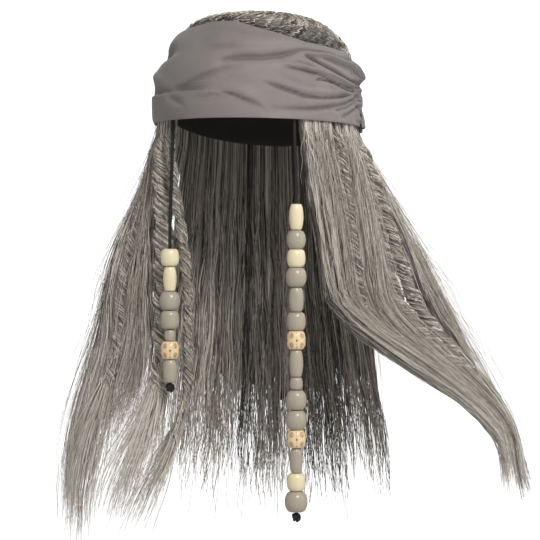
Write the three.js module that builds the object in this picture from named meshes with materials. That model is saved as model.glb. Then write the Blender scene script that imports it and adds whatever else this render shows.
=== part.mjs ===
// Pirate wig: a net cap with a crown of hair, loose and twisted locks that fall from it, a gathered
// head scarf sewn over the roots, and two strings of wooden beads that hang from the scarf's front edge.
// Sizes are in millimetres. +X is the wearer's left, -Y the wearer's front and +Z up.
// The origin is the point where the inside of the cap rests on the top of the head.
import * as THREE from "three";

// The head hollow
const headWidth = 149;
const headLength = 190;
const crownToGirth = 74;
const headPower = 2.4;
const crownPower = 2.8;

// The cap, with how far its rim lies below the top of the head
const capWall = 2;
const capRimFront = 64;
const capRimSide = 76;
const capRimBack = 94;

// The crown of hair and the roots of the locks
const clearance = 0.35;
const rootMargin = 0.65;
const hairDepth = 10;
const crownDepth = 16;
const crownEdge = 50;
const crownPuff = 2.2;
const crownWave = 1.3;
const crownLocks = 11;

// The scarf, with how far its hem lies below the top of the head
const scarfWall = 1.6;
const scarfHemFront = 75;
const scarfHemSide = 79;
const scarfHemBack = 92;
const scarfHeight = 87;
const foldSize = 10;
const clothSlack = 0.5;
const gatherDepth = 2.4;
const gatherReach = 38;
const gatherPleats = 5;
const bandHeight = 44;
const bandFrill = 1.5;
const bandPleats = 11;

// The hanging hair
const hairLength = 365;
const hairFullness = 1.7;
const tipDepth = 3;
const lockRelief = 2.2;
const twistWidth = 12;
const twistProud = 3.5;
const strandLobe = 0.2;
const rowsPerTurn = 6;
const tailSpread = 1.15;

// The bead strings
const cordWidth = 3;
const knotWidth = 8;
const cordSides = 8;
const beadSize = 17;
const beadSides = 10;
const leftStringDrop = 147;
const rightStringDrop = 185;
const stringForward = 9;
const stringOutward = 4;

const scarfMat = { color: 0x7f7875, roughness: 0.85, metalness: 0 };
const hairMat = { color: 0x948e86, roughness: 0.7, metalness: 0 };
const capMat = { color: 0x3c3a38, roughness: 0.9, metalness: 0 };
const cordMat = { color: 0x211d1b, roughness: 0.8, metalness: 0 };
const beadMats = {
  grey: { color: 0xaea597, roughness: 0.4, metalness: 0 },
  cream: { color: 0xecdfc4, roughness: 0.4, metalness: 0 },
  ringed: { color: 0xdcb98c, roughness: 0.4, metalness: 0 },
};

// Where each edge of the scarf's front panel lies round the head. Height is a share of scarfHeight.
const scarfStart = 172;
const scarfEnd = 364;
const scarfTop = [
  { angle: 172, height: 0.4 },
  { angle: 179, height: 0.66 },
  { angle: 188, height: 0.84 },
  { angle: 210, height: 0.9 },
  { angle: 248, height: 0.96 },
  { angle: 270, height: 0.95 },
  { angle: 299, height: 0.84 },
  { angle: 320, height: 0.76 },
  { angle: 355, height: 0.72 },
  { angle: 364, height: 0.41 },
];

// Folds across the front panel. Each runs from one point to another, where rise is the share of the
// panel's height. Reach is half its width and lift its height, both as shares of foldSize.
const scarfFolds = [
  { name: "turned hem", fromAngle: 190, fromRise: 0.19, toAngle: 262, toRise: 0.14, reach: 0.9, lift: 0.2 },
  { name: "side bulge", fromAngle: 186, fromRise: 0.42, toAngle: 214, toRise: 0.34, reach: 0.7, lift: 0.3 },
  { name: "brow ridge", fromAngle: 250, fromRise: 0.69, toAngle: 300, toRise: 0.78, reach: 0.8, lift: 0.22 },
  { name: "upper valley", fromAngle: 318, fromRise: 0.7, toAngle: 360, toRise: 0.48, reach: 0.4, lift: -0.2 },
  { name: "upper ridge", fromAngle: 322, fromRise: 0.79, toAngle: 360, toRise: 0.76, reach: 0.5, lift: 0.32 },
  { name: "middle ridge", fromAngle: 304, fromRise: 0.52, toAngle: 360, toRise: 0.4, reach: 0.5, lift: 0.28 },
  { name: "middle valley", fromAngle: 322, fromRise: 0.4, toAngle: 360, toRise: 0.32, reach: 0.35, lift: -0.16 },
  { name: "long crease", fromAngle: 300, fromRise: 0.27, toAngle: 358, toRise: 0.27, reach: 0.5, lift: 0.16 },
  { name: "low crease", fromAngle: 292, fromRise: 0.04, toAngle: 356, toRise: 0.2, reach: 0.4, lift: 0.12 },
];

// The way that the hair falls, a row for each guide round the head. Flare is sideways travel for each
// millimetre of fall. Early, late and back are sideways, sideways and rearward travel as shares of
// hairLength: early ends at earlyEnd, and late runs between the shares of fall called from and to.
const earlyEnd = 0.42;
const backEnd = 0.8;
const leftFall = [
  { angle: -46, fall: 0.86, flare: 0.12, early: 0.0, late: 0.36, from: 0.4, to: 0.76, back: 0.14 },
  { angle: -20, fall: 0.88, flare: 0.1, early: 0.0, late: 0.31, from: 0.41, to: 0.78, back: 0.1 },
  { angle: 5, fall: 0.88, flare: 0.25, early: 0.0, late: 0.19, from: 0.38, to: 0.76, back: 0.08 },
  { angle: 42, fall: 0.84, flare: 0.47, early: 0.05, late: 0.0, from: 0.36, to: 0.76, back: 0.05 },
];
const backFall = [
  { angle: 46, fall: 0.9, flare: 0.14, early: 0.0, late: 0.0, from: 0.4, to: 0.8, back: 0.03 },
  { angle: 102, fall: 0.97, flare: 0.0, early: 0.0, late: 0.0, from: 0.4, to: 0.8, back: 0.05 },
  { angle: 158, fall: 0.92, flare: -0.14, early: 0.0, late: 0.0, from: 0.4, to: 0.8, back: 0.03 },
];
const rightFall = [
  { angle: 162, fall: 0.9, flare: -0.05, early: -0.095, late: -0.095, from: 0.42, to: 0.83, back: -0.13 },
  { angle: 177, fall: 0.95, flare: -0.05, early: -0.105, late: -0.08, from: 0.42, to: 0.83, back: -0.13 },
  { angle: 193, fall: 1.0, flare: -0.045, early: -0.09, late: -0.07, from: 0.42, to: 0.83, back: -0.11 },
  { angle: 204, fall: 1.0, flare: -0.02, early: -0.055, late: -0.1, from: 0.5, to: 0.95, back: -0.08 },
  { angle: 213, fall: 0.96, flare: 0.0, early: -0.016, late: -0.12, from: 0.5, to: 1.0, back: -0.055 },
  { angle: 228, fall: 0.98, flare: 0.0, early: 0.05, late: -0.175, from: 0.6, to: 1.1, back: 0.0 },
];

// The locks, each between two angles of its fall. Ridges is the number of strands that show on it.
const looseLocks = [
  { name: "hair_left_front", guides: leftFall, from: -46, to: -26.4, ridges: 4 },
  { name: "hair_left_middle", guides: leftFall, from: -13.5, to: -3, ridges: 3 },
  { name: "hair_left_side", guides: leftFall, from: 20, to: 42, ridges: 4 },
  { name: "hair_back_left", guides: backFall, from: 46, to: 73.8, ridges: 2 },
  { name: "hair_back_middle_left", guides: backFall, from: 74.2, to: 101.8, ridges: 2 },
  { name: "hair_back_middle_right", guides: backFall, from: 102.2, to: 129.8, ridges: 2 },
  { name: "hair_back_right", guides: backFall, from: 130.2, to: 158, ridges: 2 },
  { name: "hair_right_side", guides: rightFall, from: 162, to: 178.8, ridges: 3 },
  { name: "hair_right_middle", guides: rightFall, from: 179.2, to: 195.6, ridges: 3 },
  { name: "hair_right_inner", guides: rightFall, from: 205.8, to: 211, ridges: 2 },
];

// The twisted locks. Width is a share of twistWidth, and end the share of the fall where the twist
// opens into a loose tail.
const twistedLocks = [
  { name: "twist_left_front", guides: leftFall, angle: -19.6, width: 0.93, end: 0.62, turns: 4 },
  { name: "twist_left_middle", guides: leftFall, angle: 2.8, width: 0.92, end: 0.7, turns: 4.5 },
  { name: "twist_left_side", guides: leftFall, angle: 13.4, width: 1.0, end: 0.72, turns: 4.5 },
  { name: "twist_right_side", guides: rightFall, angle: 200.9, width: 1.03, end: 0.62, turns: 4 },
  { name: "twist_right_front", guides: rightFall, angle: 217.6, width: 1.3, end: 0.66, turns: 4 },
  { name: "twist_right_inner", guides: rightFall, angle: 226.6, width: 0.73, end: 0.84, turns: 5 },
];

// The beads from the top of each string down. Length and width are shares of beadSize.
const leftBeads = [
  { shape: "oval", finish: "cream", length: 1.28, width: 0.72 },
  { shape: "round", finish: "grey", length: 0.91, width: 0.95 },
  { shape: "barrel", finish: "cream", length: 0.88, width: 0.92 },
  { shape: "round", finish: "grey", length: 0.95, width: 1.03 },
  { shape: "oval", finish: "grey", length: 1.21, width: 0.75 },
  { shape: "barrel", finish: "grey", length: 0.9, width: 0.94 },
  { shape: "barrel", finish: "ringed", length: 0.91, width: 0.94 },
  { shape: "oval", finish: "grey", length: 1.34, width: 0.69 },
  { shape: "barrel", finish: "grey", length: 0.62, width: 0.65 },
  { shape: "round", finish: "grey", length: 0.97, width: 1.02 },
  { shape: "round", finish: "grey", length: 0.95, width: 1.04 },
  { shape: "barrel", finish: "ringed", length: 0.89, width: 0.95 },
  { shape: "oval", finish: "grey", length: 1.21, width: 0.66 },
  { shape: "barrel", finish: "cream", length: 0.88, width: 0.93 },
  { shape: "round", finish: "grey", length: 1.02, width: 1.14 },
];
const rightBeads = [
  { shape: "barrel", finish: "cream", length: 0.86, width: 0.94 },
  { shape: "oval", finish: "cream", length: 1.24, width: 0.68 },
  { shape: "round", finish: "grey", length: 0.92, width: 1.05 },
  { shape: "barrel", finish: "grey", length: 0.92, width: 0.95 },
  { shape: "barrel", finish: "grey", length: 0.58, width: 0.56 },
  { shape: "barrel", finish: "ringed", length: 0.89, width: 0.94 },
  { shape: "oval", finish: "grey", length: 1.15, width: 0.73 },
];
// The end's width as a share of the bead's, and how square the bulge between the ends is.
const beadShapes = {
  round: { end: 0.5, squareness: 2 },
  barrel: { end: 0.68, squareness: 2.8 },
  oval: { end: 0.68, squareness: 2.1 },
};
// The knot below the beads. Fall and width are shares of knotWidth.
const knotOutline = [
  { fall: 0, width: cordWidth / knotWidth },
  { fall: 0.06, width: 0.4 },
  { fall: 0.12, width: 0.75 },
  { fall: 0.5, width: 1 },
  { fall: 0.85, width: 0.7 },
  { fall: 1, width: 0.3 },
];

const radians = THREE.MathUtils.degToRad;
const smooth = (share) => THREE.MathUtils.smoothstep(share, 0, 1);
const lerp = THREE.MathUtils.lerp;
const steps = (count) => Array.from({ length: count + 1 }, (_, i) => i / count);

// A value of a table between its rows, by angle.
function between(rows, angle, column) {
  const at = rows.findIndex((row) => row.angle >= angle);
  if (at <= 0) return (at === 0 ? rows[0] : rows[rows.length - 1])[column];
  const [low, high] = [rows[at - 1], rows[at]];
  return lerp(low[column], high[column], (angle - low.angle) / (high.angle - low.angle));
}

// Height of an edge that runs round the head, given how far it drops at the front, side and back.
function edgeHeight(angle, front, side, back) {
  const forward = -Math.sin(radians(angle));
  return -(forward > 0 ? lerp(side, front, forward) : lerp(side, back, -forward));
}
const hemHeight = (angle) => edgeHeight(angle, scarfHemFront, scarfHemSide, scarfHemBack);
const rimHeight = (angle) => edgeHeight(angle, capRimFront, capRimSide, capRimBack);

// The layers, from the head outwards: cap, hair, scarf.
const capSide = capWall;
const hairInner = capSide + clearance;
const hairOuter = hairInner + hairDepth;
const hairTop = hairInner + crownDepth;
const scarfInner = hairOuter + clearance;
const scarfInnerTop = hairTop + clearance;

// The head's surface grown by side round it and by top above it, and squarer the more it is grown.
// Latitude is 0 at the girth and a quarter turn at the crown. The wall is straight below the girth.
const domePower = (top) => lerp(headPower, crownPower, Math.min(1, top / hairTop));
function headPoint(angle, latitude, side, top) {
  const height = crownToGirth + top;
  const inward = latitude > 0 ? Math.cos(latitude) ** (2 / domePower(top)) : 1;
  const rise = latitude > 0 ? Math.sin(latitude) ** (2 / domePower(top)) : latitude;
  return new THREE.Vector3(
    (headWidth / 2 + side) * inward * Math.cos(radians(angle)),
    (headLength / 2 + side) * inward * Math.sin(radians(angle)),
    height * rise - crownToGirth,
  );
}
function latitudeAt(height, top) {
  const rise = (height + crownToGirth) / (crownToGirth + top);
  return rise > 0 ? Math.asin(Math.min(rise, 1) ** (domePower(top) / 2)) : rise;
}

// A closed solid through rings of points, each with as many points as the next. A ring of one point
// closes an end, and other ends get flat faces, unless the last ring joins the first one.
function loft(rings, joined = false) {
  const points = rings.flat();
  const starts = rings.map((_, i) => rings.slice(0, i).flat().length);
  const faces = [];
  for (let i = 0; i < rings.length - (joined ? 0 : 1); i++) {
    const after = (i + 1) % rings.length;
    const [low, high] = [rings[i].length, rings[after].length];
    const count = Math.max(low, high);
    for (let j = 0; j < count; j++) {
      const next = (j + 1) % count;
      const [a, b] = [starts[i] + (j % low), starts[i] + (next % low)];
      const [c, d] = [starts[after] + (j % high), starts[after] + (next % high)];
      if (low === 1) faces.push([a, d, c]);
      else if (high === 1) faces.push([a, b, d]);
      else if (points[a].distanceTo(points[d]) <= points[b].distanceTo(points[c])) faces.push([a, b, d], [a, d, c]);
      else faces.push([a, b, c], [b, d, c]);
    }
  }
  for (const end of joined ? [] : [0, rings.length - 1]) {
    if (rings[end].length > 1) faces.push(...endFaces(rings[end], starts[end], end === 0));
  }
  return closedGeometry(points, faces);
}

// Faces that fill a ring, taken across it from one side to the other by the shorter of two diagonals.
function endFaces(ring, start, first) {
  const faces = [];
  let [low, high] = [0, ring.length - 1];
  while (high - low > 1) {
    const stepUp = ring[low + 1].distanceTo(ring[high]) <= ring[low].distanceTo(ring[high - 1]);
    faces.push(stepUp ? [low, low + 1, high] : [low, high - 1, high]);
    if (stepUp) low += 1;
    else high -= 1;
  }
  return faces.map(([a, b, c]) => (first ? [a, c, b] : [a, b, c]).map((corner) => start + corner));
}

// An indexed geometry whose faces point out.
function closedGeometry(points, faces) {
  const volume = faces.reduce((sum, [a, b, c]) => {
    return sum + points[a].dot(new THREE.Vector3().crossVectors(points[b], points[c]));
  }, 0);
  const index = volume < 0 ? faces.map(([a, b, c]) => [a, c, b]).flat() : faces.flat();
  return new THREE.BufferGeometry().setFromPoints(points).setIndex(index);
}

function named(name, geometry, look) {
  const shaded = geometry.toNonIndexed();
  shaded.computeVertexNormals();
  const mesh = new THREE.Mesh(shaded, new THREE.MeshStandardMaterial(look));
  mesh.name = name;
  return mesh;
}

// The cap and the crown's lining share one grid, so that their facets lie level with each other.
const gridColumns = steps(32).slice(1).map((turn) => 360 * turn);
const gridRows = steps(4).slice(0, -1);
const gridStart = latitudeAt(-crownEdge, capWall);
function gridRing(grow, share) {
  return gridColumns.map((angle) => headPoint(angle, lerp(gridStart, Math.PI / 2, share), grow, grow));
}
const pole = (grow) => [headPoint(0, Math.PI / 2, grow, grow)];

// The cap's net panel covers the top of the head, and its band runs from the panel's edge to the rim.
function makeCapNet() {
  const wall = (grow) => gridRows.map((share) => gridRing(grow, share));
  return named("cap_net", loft([pole(capWall), ...wall(capWall).reverse(), ...wall(0), pole(0)]), capMat);
}
function makeCapBand() {
  const seam = latitudeAt(-crownEdge - clearance, capWall);
  const rim = (grow) =>
    gridColumns.map((angle) => headPoint(angle, latitudeAt(rimHeight(angle), grow), grow, grow));
  const top = (grow) => gridColumns.map((angle) => headPoint(angle, seam, grow, grow));
  return named("cap_band", loft([rim(capWall), top(capWall), top(0), rim(0)], true), capMat);
}

// The top edge of whichever part of the scarf lies at this angle.
function scarfTopHeight(angle) {
  const turn = ((angle % 360) + 360) % 360;
  const onFront = turn >= scarfStart || turn <= scarfEnd - 360;
  const frontAngle = turn < scarfStart ? turn + 360 : turn;
  if (onFront) return hemHeight(angle) + scarfHeight * between(scarfTop, frontAngle, "height");
  return hemHeight(angle) + lerp(scarfHeight * scarfTop[0].height, bandHeight, Math.sin(radians(turn)));
}

function makeCrown() {
  const columns = gridColumns;
  const bottom = -crownEdge;
  const covered = (share) =>
    columns.map((angle) => {
      const top = latitudeAt(Math.max(scarfTopHeight(angle), bottom + crownPuff), hairTop);
      return headPoint(angle, lerp(latitudeAt(bottom, hairTop), top, share), hairOuter, hairTop);
    });
  const bare = (share) =>
    columns.map((angle) => {
      const low = latitudeAt(Math.max(scarfTopHeight(angle), bottom + crownPuff), hairTop);
      const wave = crownWave * Math.sin(crownLocks * radians(angle) + 9 * share);
      const grow = crownPuff * smooth(share * 3) + wave * smooth(share * 4) * (1 - share);
      return headPoint(angle, lerp(low, Math.PI / 2, share), hairOuter + grow, hairTop + grow);
    });
  const rings = [
    pole(hairTop + crownPuff),
    ...[0.82, 0.6, 0.38, 0.18].map(bare),
    ...[1, 0.5, 0].map(covered),
    ...gridRows.map((share) => gridRing(hairInner, share)),
    pole(hairInner),
  ];
  return named("crown_hair", loft(rings), hairMat);
}

// How far a fold lifts the cloth at a point of the front panel.
function foldLift(fold, angle, rise) {
  const perDegree = (Math.PI * (headWidth + headLength)) / 4 / 180;
  const run = [(fold.toAngle - fold.fromAngle) * perDegree, (fold.toRise - fold.fromRise) * scarfHeight];
  const here = [(angle - fold.fromAngle) * perDegree, (rise - fold.fromRise) * scarfHeight];
  const length = Math.hypot(...run);
  const along = (here[0] * run[0] + here[1] * run[1]) / length;
  const across = (here[0] * run[1] - here[1] * run[0]) / length;
  const fade = smooth(1.5 - Math.abs(along / length - 0.5) * 2.2);
  return fold.lift * foldSize * fade * Math.exp(-((across / (fold.reach * foldSize)) ** 2));
}

// The cloth stands off the hair only outwards, and its pleats deepen towards the gathers at both ends.
function panelLift(angle, rise) {
  const perDegree = (Math.PI * (headWidth + headLength)) / 4 / 180;
  const toGather = Math.min(angle - scarfStart, scarfEnd - angle) * perDegree;
  const near = Math.exp(-((toGather / gatherReach) ** 2) * 4);
  const pleat = 0.5 + 0.5 * Math.cos(2 * Math.PI * gatherPleats * rise);
  const folds = scarfFolds.reduce((sum, fold) => sum + foldLift(fold, angle, rise), 0);
  const offHem = smooth(rise / 0.12);
  return offHem * Math.max(0, gatherDepth * near * pleat + folds * (1 - near) + clothSlack);
}

function makeScarfPanel() {
  const rises = steps(10);
  const rings = steps(32).map((turn) => {
    const angle = lerp(scarfStart, scarfEnd, turn);
    const line = (grow) =>
      rises.map((rise) => {
        const low = latitudeAt(hemHeight(angle), scarfInnerTop + grow);
        const high = latitudeAt(scarfTopHeight(angle), scarfInnerTop + grow);
        const lift = grow + panelLift(angle, rise);
        return headPoint(angle, lerp(low, high, rise), scarfInner + lift, scarfInnerTop + lift);
      });
    return [...line(scarfWall), ...line(0).reverse()];
  });
  return named("scarf_front", loft(rings), scarfMat);
}

// The elastic band that closes the scarf behind the head, ruched along its whole length.
function makeScarfBand() {
  const [start, end] = [scarfEnd - 360, scarfStart];
  const gap = 0.5;
  const rings = steps(bandPleats * 4).map((turn) => {
    const angle = lerp(start + gap, end - gap, turn);
    const pleat = 0.5 + 0.5 * Math.cos(2 * Math.PI * bandPleats * turn);
    const line = (grow) =>
      steps(3).map((rise) => {
        const low = latitudeAt(hemHeight(angle), scarfInnerTop + grow);
        const high = latitudeAt(scarfTopHeight(angle), scarfInnerTop + grow);
        const frill = bandFrill * pleat * (0.6 + 0.4 * Math.abs(2 * rise - 1));
        return headPoint(angle, lerp(low, high, rise), scarfInner + grow + frill, scarfInnerTop + grow + frill);
      });
    return [...line(scarfWall), ...line(0).reverse()];
  });
  return named("scarf_band", loft(rings), scarfMat);
}

// The middle of the hair's depth at an angle, drop millimetres below the scarf's hem. Above the hem,
// where drop is negative, it lies between the cap and the scarf.
function fallCentre(guides, angle, drop) {
  const column = (name) => between(guides, angle, name);
  const root = headPoint(angle, 0, (hairInner + hairOuter) / 2, 0);
  const hem = hemHeight(angle);
  if (drop < 0) {
    const top = (hairInner + hairTop) / 2;
    return headPoint(angle, latitudeAt(hem - drop, top), (hairInner + hairOuter) / 2, top);
  }
  const share = drop / hairLength;
  const late = smooth((share - column("from")) / (column("to") - column("from")));
  const sideways =
    column("flare") * share + column("early") * smooth(share / earlyEnd) + column("late") * late;
  return new THREE.Vector3(
    root.x + sideways * hairLength,
    root.y + column("back") * smooth(share / backEnd) * hairLength,
    hem - drop,
  );
}

// The outward direction of the falling hair, square to the way that it hangs and to its width.
function fallNormal(guides, angle, drop) {
  const [low, high] = [guides[0].angle, guides[guides.length - 1].angle];
  const [before, after] = [Math.max(low, angle - 1.5), Math.min(high, angle + 1.5)];
  const across = fallCentre(guides, after, drop).sub(fallCentre(guides, before, drop));
  const down = fallCentre(guides, angle, drop + 4).sub(fallCentre(guides, angle, drop - 4));
  return across.cross(down).negate().normalize();
}

// The hair thickens below the scarf and thins towards the tips.
function fallDepth(share) {
  const full = lerp(hairDepth - 2 * rootMargin, hairDepth * hairFullness, smooth(share / 0.3));
  return lerp(full, tipDepth, smooth((share - 0.5) / 0.5));
}

// Where a lock starts, just below the crown's lower edge.
const rootDrop = (angle) => hemHeight(angle) + crownEdge + clearance + rootMargin;

function makeLooseLock({ name, guides, from, to, ridges }) {
  const columns = steps(ridges * 2);
  const rows = [-1, 0, 0.08, 0.2, 0.34, 0.48, 0.6, 0.72, 0.86, 1];
  const rings = rows.map((row) => {
    const at = (turn, outer) => {
      const angle = lerp(from, to, turn);
      const ridge = Math.abs(Math.sin(Math.PI * ridges * turn));
      const fall = between(guides, angle, "fall") * hairLength * (0.88 + 0.12 * ridge);
      const drop = row < 0 ? rootDrop(angle) : row * fall;
      const share = Math.max(row, 0);
      const edge = Math.min(1, 0.55 + 3 * Math.min(turn, 1 - turn));
      const half = (fallDepth(share) / 2) * lerp(1, edge, smooth(share / 0.2));
      const relief = Math.min(lockRelief, half / 2) * (ridge - 1) * smooth(share / 0.15);
      const offset = outer ? half + relief : -half;
      return fallCentre(guides, angle, drop).addScaledVector(fallNormal(guides, angle, drop), offset);
    };
    return [...columns.map((turn) => at(turn, true)), ...columns.map((turn) => at(turn, false)).reverse()];
  });
  return named(name, loft(rings), hairMat);
}

// A rope of two strands wound round each other, which opens into a flat tail.
function makeTwistedLock({ name, guides, angle, width, end, turns }) {
  const fall = between(guides, angle, "fall") * hairLength;
  const rows = [rootDrop(angle) / fall, 0.002, ...steps(turns * rowsPerTurn).map((share) => lerp(0.03, end, share)),
    lerp(end, 1, 0.3), lerp(end, 1, 0.65), 1];
  const sides = steps(6).slice(1);
  const rings = rows.map((row) => {
    const drop = row * fall;
    const middle = fallCentre(guides, angle, drop);
    const outward = fallNormal(guides, angle, drop);
    const down = fallCentre(guides, angle, drop + 4).sub(fallCentre(guides, angle, drop - 4)).normalize();
    const across = new THREE.Vector3().crossVectors(down, outward);
    const free = smooth(row / 0.1);
    const tail = smooth((row - end) / (1 - end));
    const size = lerp(hairDepth / 2 - rootMargin, (width * twistWidth) / 2, free);
    const wide = size * lerp(1, tailSpread, tail);
    const deep = lerp(size, tipDepth / 2, tail);
    const turned = 2 * Math.PI * turns * THREE.MathUtils.clamp((row - 0.03) / (end - 0.03), 0, 1);
    middle.addScaledVector(outward, twistProud * free * (1 - tail));
    return sides.map((side) => {
      const lobe = 1 + strandLobe * free * Math.cos(4 * Math.PI * side);
      const way = 2 * Math.PI * side + turned;
      return middle
        .clone()
        .addScaledVector(across, wide * lobe * Math.cos(way))
        .addScaledVector(outward, deep * lobe * Math.sin(way));
    });
  });
  return named(name, loft(rings), hairMat);
}

// A turned bead with a bore, standing on its lower end.
function beadGeometry({ shape, length, width }) {
  const { end, squareness } = beadShapes[shape];
  const bore = (cordWidth / 2 + clearance) / Math.cos(Math.PI / beadSides);
  const outline = [0, 0.16, 0.5, 0.84, 1].map((share) => {
    const bulge = (1 - Math.abs(2 * share - 1) ** squareness) ** (1 / squareness);
    return new THREE.Vector2(((beadSize * width) / 2) * lerp(end, 1, bulge), share * length * beadSize);
  });
  const profile = [new THREE.Vector2(bore, 0), ...outline, new THREE.Vector2(bore, length * beadSize)];
  profile.push(profile[0].clone());
  return new THREE.LatheGeometry(profile, beadSides).rotateX(Math.PI / 2);
}

// A cord that hangs from inside the scarf's hem, with its beads and the knot that holds them.
function makeString(side, angle, drop, outward, beads) {
  const group = new THREE.Group();
  const hem = hemHeight(angle);
  const edge = headPoint(angle, 0, scarfInner - 2 * clearance - cordWidth / 2, 0).setZ(hem);
  const hang = new THREE.Vector3(edge.x + outward, edge.y - stringForward, -drop);
  const length = beads.reduce((sum, bead) => sum + bead.length * beadSize + clearance, 0);
  const knotTop = -drop - length;

  const bend = steps(6).map((share) => {
    const settled = smooth(share);
    return [edge.clone().lerp(hang, settled).setZ(lerp(hem, -drop, share)), cordWidth / 2];
  });
  const knot = knotOutline.map(({ fall, width }) => {
    return [hang.clone().setZ(knotTop - fall * knotWidth), (width * knotWidth) / 2];
  });
  const top = edge.clone().setZ(hem + cordWidth * 4);
  const rings = [[top, cordWidth / 2], ...bend, ...knot].map(([centre, radius]) =>
    steps(cordSides).slice(1).map((turn) => {
      const way = 2 * Math.PI * turn;
      return new THREE.Vector3(radius * Math.cos(way), radius * Math.sin(way), 0).add(centre);
    }),
  );
  group.add(named(`cord_${side}`, loft(rings), cordMat));

  let level = -drop;
  beads.forEach((bead, i) => {
    level -= bead.length * beadSize + clearance;
    const mesh = named(`bead_${side}_${i + 1}`, beadGeometry(bead), beadMats[bead.finish]);
    mesh.position.set(hang.x, hang.y, level + clearance);
    group.add(mesh);
  });
  return group;
}

const wig = new THREE.Group();
wig.name = "pirate_wig";
wig.add(makeCapNet(), makeCapBand(), makeCrown(), makeScarfPanel(), makeScarfBand());
looseLocks.forEach((lock) => wig.add(makeLooseLock(lock)));
twistedLocks.forEach((lock) => wig.add(makeTwistedLock(lock)));
wig.add(makeString("left", 309, leftStringDrop, stringOutward, leftBeads));
wig.add(makeString("right", 231.5, rightStringDrop, 0, rightBeads));

export default wig;
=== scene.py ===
"""Looks for a pirate wig: a net cap, combed crown hair, loose and twisted locks, a gathered head scarf
and two strings of wooden beads.

Lengths are in metres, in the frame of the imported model: +X is the wearer's left, -Y the wearer's front
and +Z up. The origin is where the cap rests on the top of the head. Angles run round the head in
degrees, from 0 at the wearer's left through 90 at the back."""
import math
from types import SimpleNamespace

import bmesh
import bpy
import numpy as np
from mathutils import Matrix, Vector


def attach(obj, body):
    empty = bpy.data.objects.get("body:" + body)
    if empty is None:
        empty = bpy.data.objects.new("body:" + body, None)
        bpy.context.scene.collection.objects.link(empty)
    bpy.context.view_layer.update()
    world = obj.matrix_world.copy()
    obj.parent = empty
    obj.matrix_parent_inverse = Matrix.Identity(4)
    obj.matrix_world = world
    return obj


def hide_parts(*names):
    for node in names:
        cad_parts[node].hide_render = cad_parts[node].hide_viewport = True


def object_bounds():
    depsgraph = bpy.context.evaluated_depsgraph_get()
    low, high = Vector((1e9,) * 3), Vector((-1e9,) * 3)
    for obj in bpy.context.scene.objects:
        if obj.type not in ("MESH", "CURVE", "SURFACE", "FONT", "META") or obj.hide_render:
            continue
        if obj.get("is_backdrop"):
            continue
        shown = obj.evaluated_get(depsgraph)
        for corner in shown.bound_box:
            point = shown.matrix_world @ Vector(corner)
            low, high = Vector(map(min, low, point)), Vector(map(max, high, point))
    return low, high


bl_info = {
    "name": "Pirate Wig",
    "version": (1, 0, 0),
    "blender": (4, 5, 0),
    "location": "View3D > Sidebar > Wig",
    "description": "Builds the looks of a pirate wig round its packed model",
    "category": "Object",
}

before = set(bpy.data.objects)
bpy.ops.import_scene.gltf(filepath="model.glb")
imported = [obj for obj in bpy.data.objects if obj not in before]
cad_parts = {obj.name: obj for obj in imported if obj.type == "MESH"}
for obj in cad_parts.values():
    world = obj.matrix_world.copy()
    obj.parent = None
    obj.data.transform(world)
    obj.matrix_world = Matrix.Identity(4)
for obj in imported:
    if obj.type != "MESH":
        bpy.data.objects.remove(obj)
cad_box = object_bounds()
MM = 0.001
TAU = 2 * math.pi


def table(columns, *rows):
    """A table as one array for each of its named columns."""
    return dict(zip(columns.split(), np.array(rows, float).T))


# The sides of a strand's tube, the width of a thread of the scarf, the pitch of the cap's net and of the
# cord's twist, and how many times the rings repeat round a bead
SIDES = 3
THREAD = 0.00055
NET_PITCH = 0.0021
CORD_LAY = 0.0016
RING_REPEATS = 5

# The crown hair: degrees that it turns round the whorl, width of a tuft in degrees, and crimps down it
WHORL_TURN = 42
TUFT_WIDTH = 6
CRIMPS = 13

# How square the head's section is, for the bare head and for the hair's outer face
HEAD_POWER = 2.4
CROWN_POWER = 2.8

# The scarf's front panel runs between two angles. Its height is a share of the scarf's height.
SCARF_START = 172
SCARF_END = 364
SCARF_TOP = table(
    "angle height",
    (172, 0.4),
    (179, 0.66),
    (188, 0.84),
    (210, 0.9),
    (248, 0.96),
    (270, 0.95),
    (299, 0.84),
    (320, 0.76),
    (355, 0.72),
    (364, 0.41),
)

# The way that the hair falls, a row for each guide round the head. Flare is sideways travel for each
# metre of fall. Early, late and back are travel as shares of the hair's length.
EARLY_END = 0.42
BACK_END = 0.8
FALL_COLUMNS = "angle fall flare early late start end back"
FALLS = {
    "left": table(
        FALL_COLUMNS,
        (-46, 0.86, 0.12, 0.0, 0.36, 0.4, 0.76, 0.14),
        (-20, 0.88, 0.1, 0.0, 0.31, 0.41, 0.78, 0.1),
        (5, 0.88, 0.25, 0.0, 0.19, 0.38, 0.76, 0.08),
        (42, 0.84, 0.47, 0.05, 0.0, 0.36, 0.76, 0.05),
    ),
    "back": table(
        FALL_COLUMNS,
        (46, 0.9, 0.14, 0.0, 0.0, 0.4, 0.8, 0.03),
        (102, 0.97, 0.0, 0.0, 0.0, 0.4, 0.8, 0.05),
        (158, 0.92, -0.14, 0.0, 0.0, 0.4, 0.8, 0.03),
    ),
    "right": table(
        FALL_COLUMNS,
        (162, 0.9, -0.05, -0.095, -0.095, 0.42, 0.83, -0.13),
        (177, 0.95, -0.05, -0.105, -0.08, 0.42, 0.83, -0.13),
        (193, 1.0, -0.045, -0.09, -0.07, 0.42, 0.83, -0.11),
        (204, 1.0, -0.02, -0.055, -0.1, 0.5, 0.95, -0.08),
        (213, 0.96, 0.0, -0.016, -0.12, 0.5, 1.0, -0.055),
        (228, 0.98, 0.0, 0.05, -0.175, 0.6, 1.1, 0.0),
    ),
}


def length(label, description, default):
    return bpy.props.FloatProperty(
        name=label, description=description, default=default, min=0.0, unit="LENGTH", precision=4
    )


def whole(label, description, default):
    return bpy.props.IntProperty(name=label, description=description, default=default, min=1)


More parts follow.
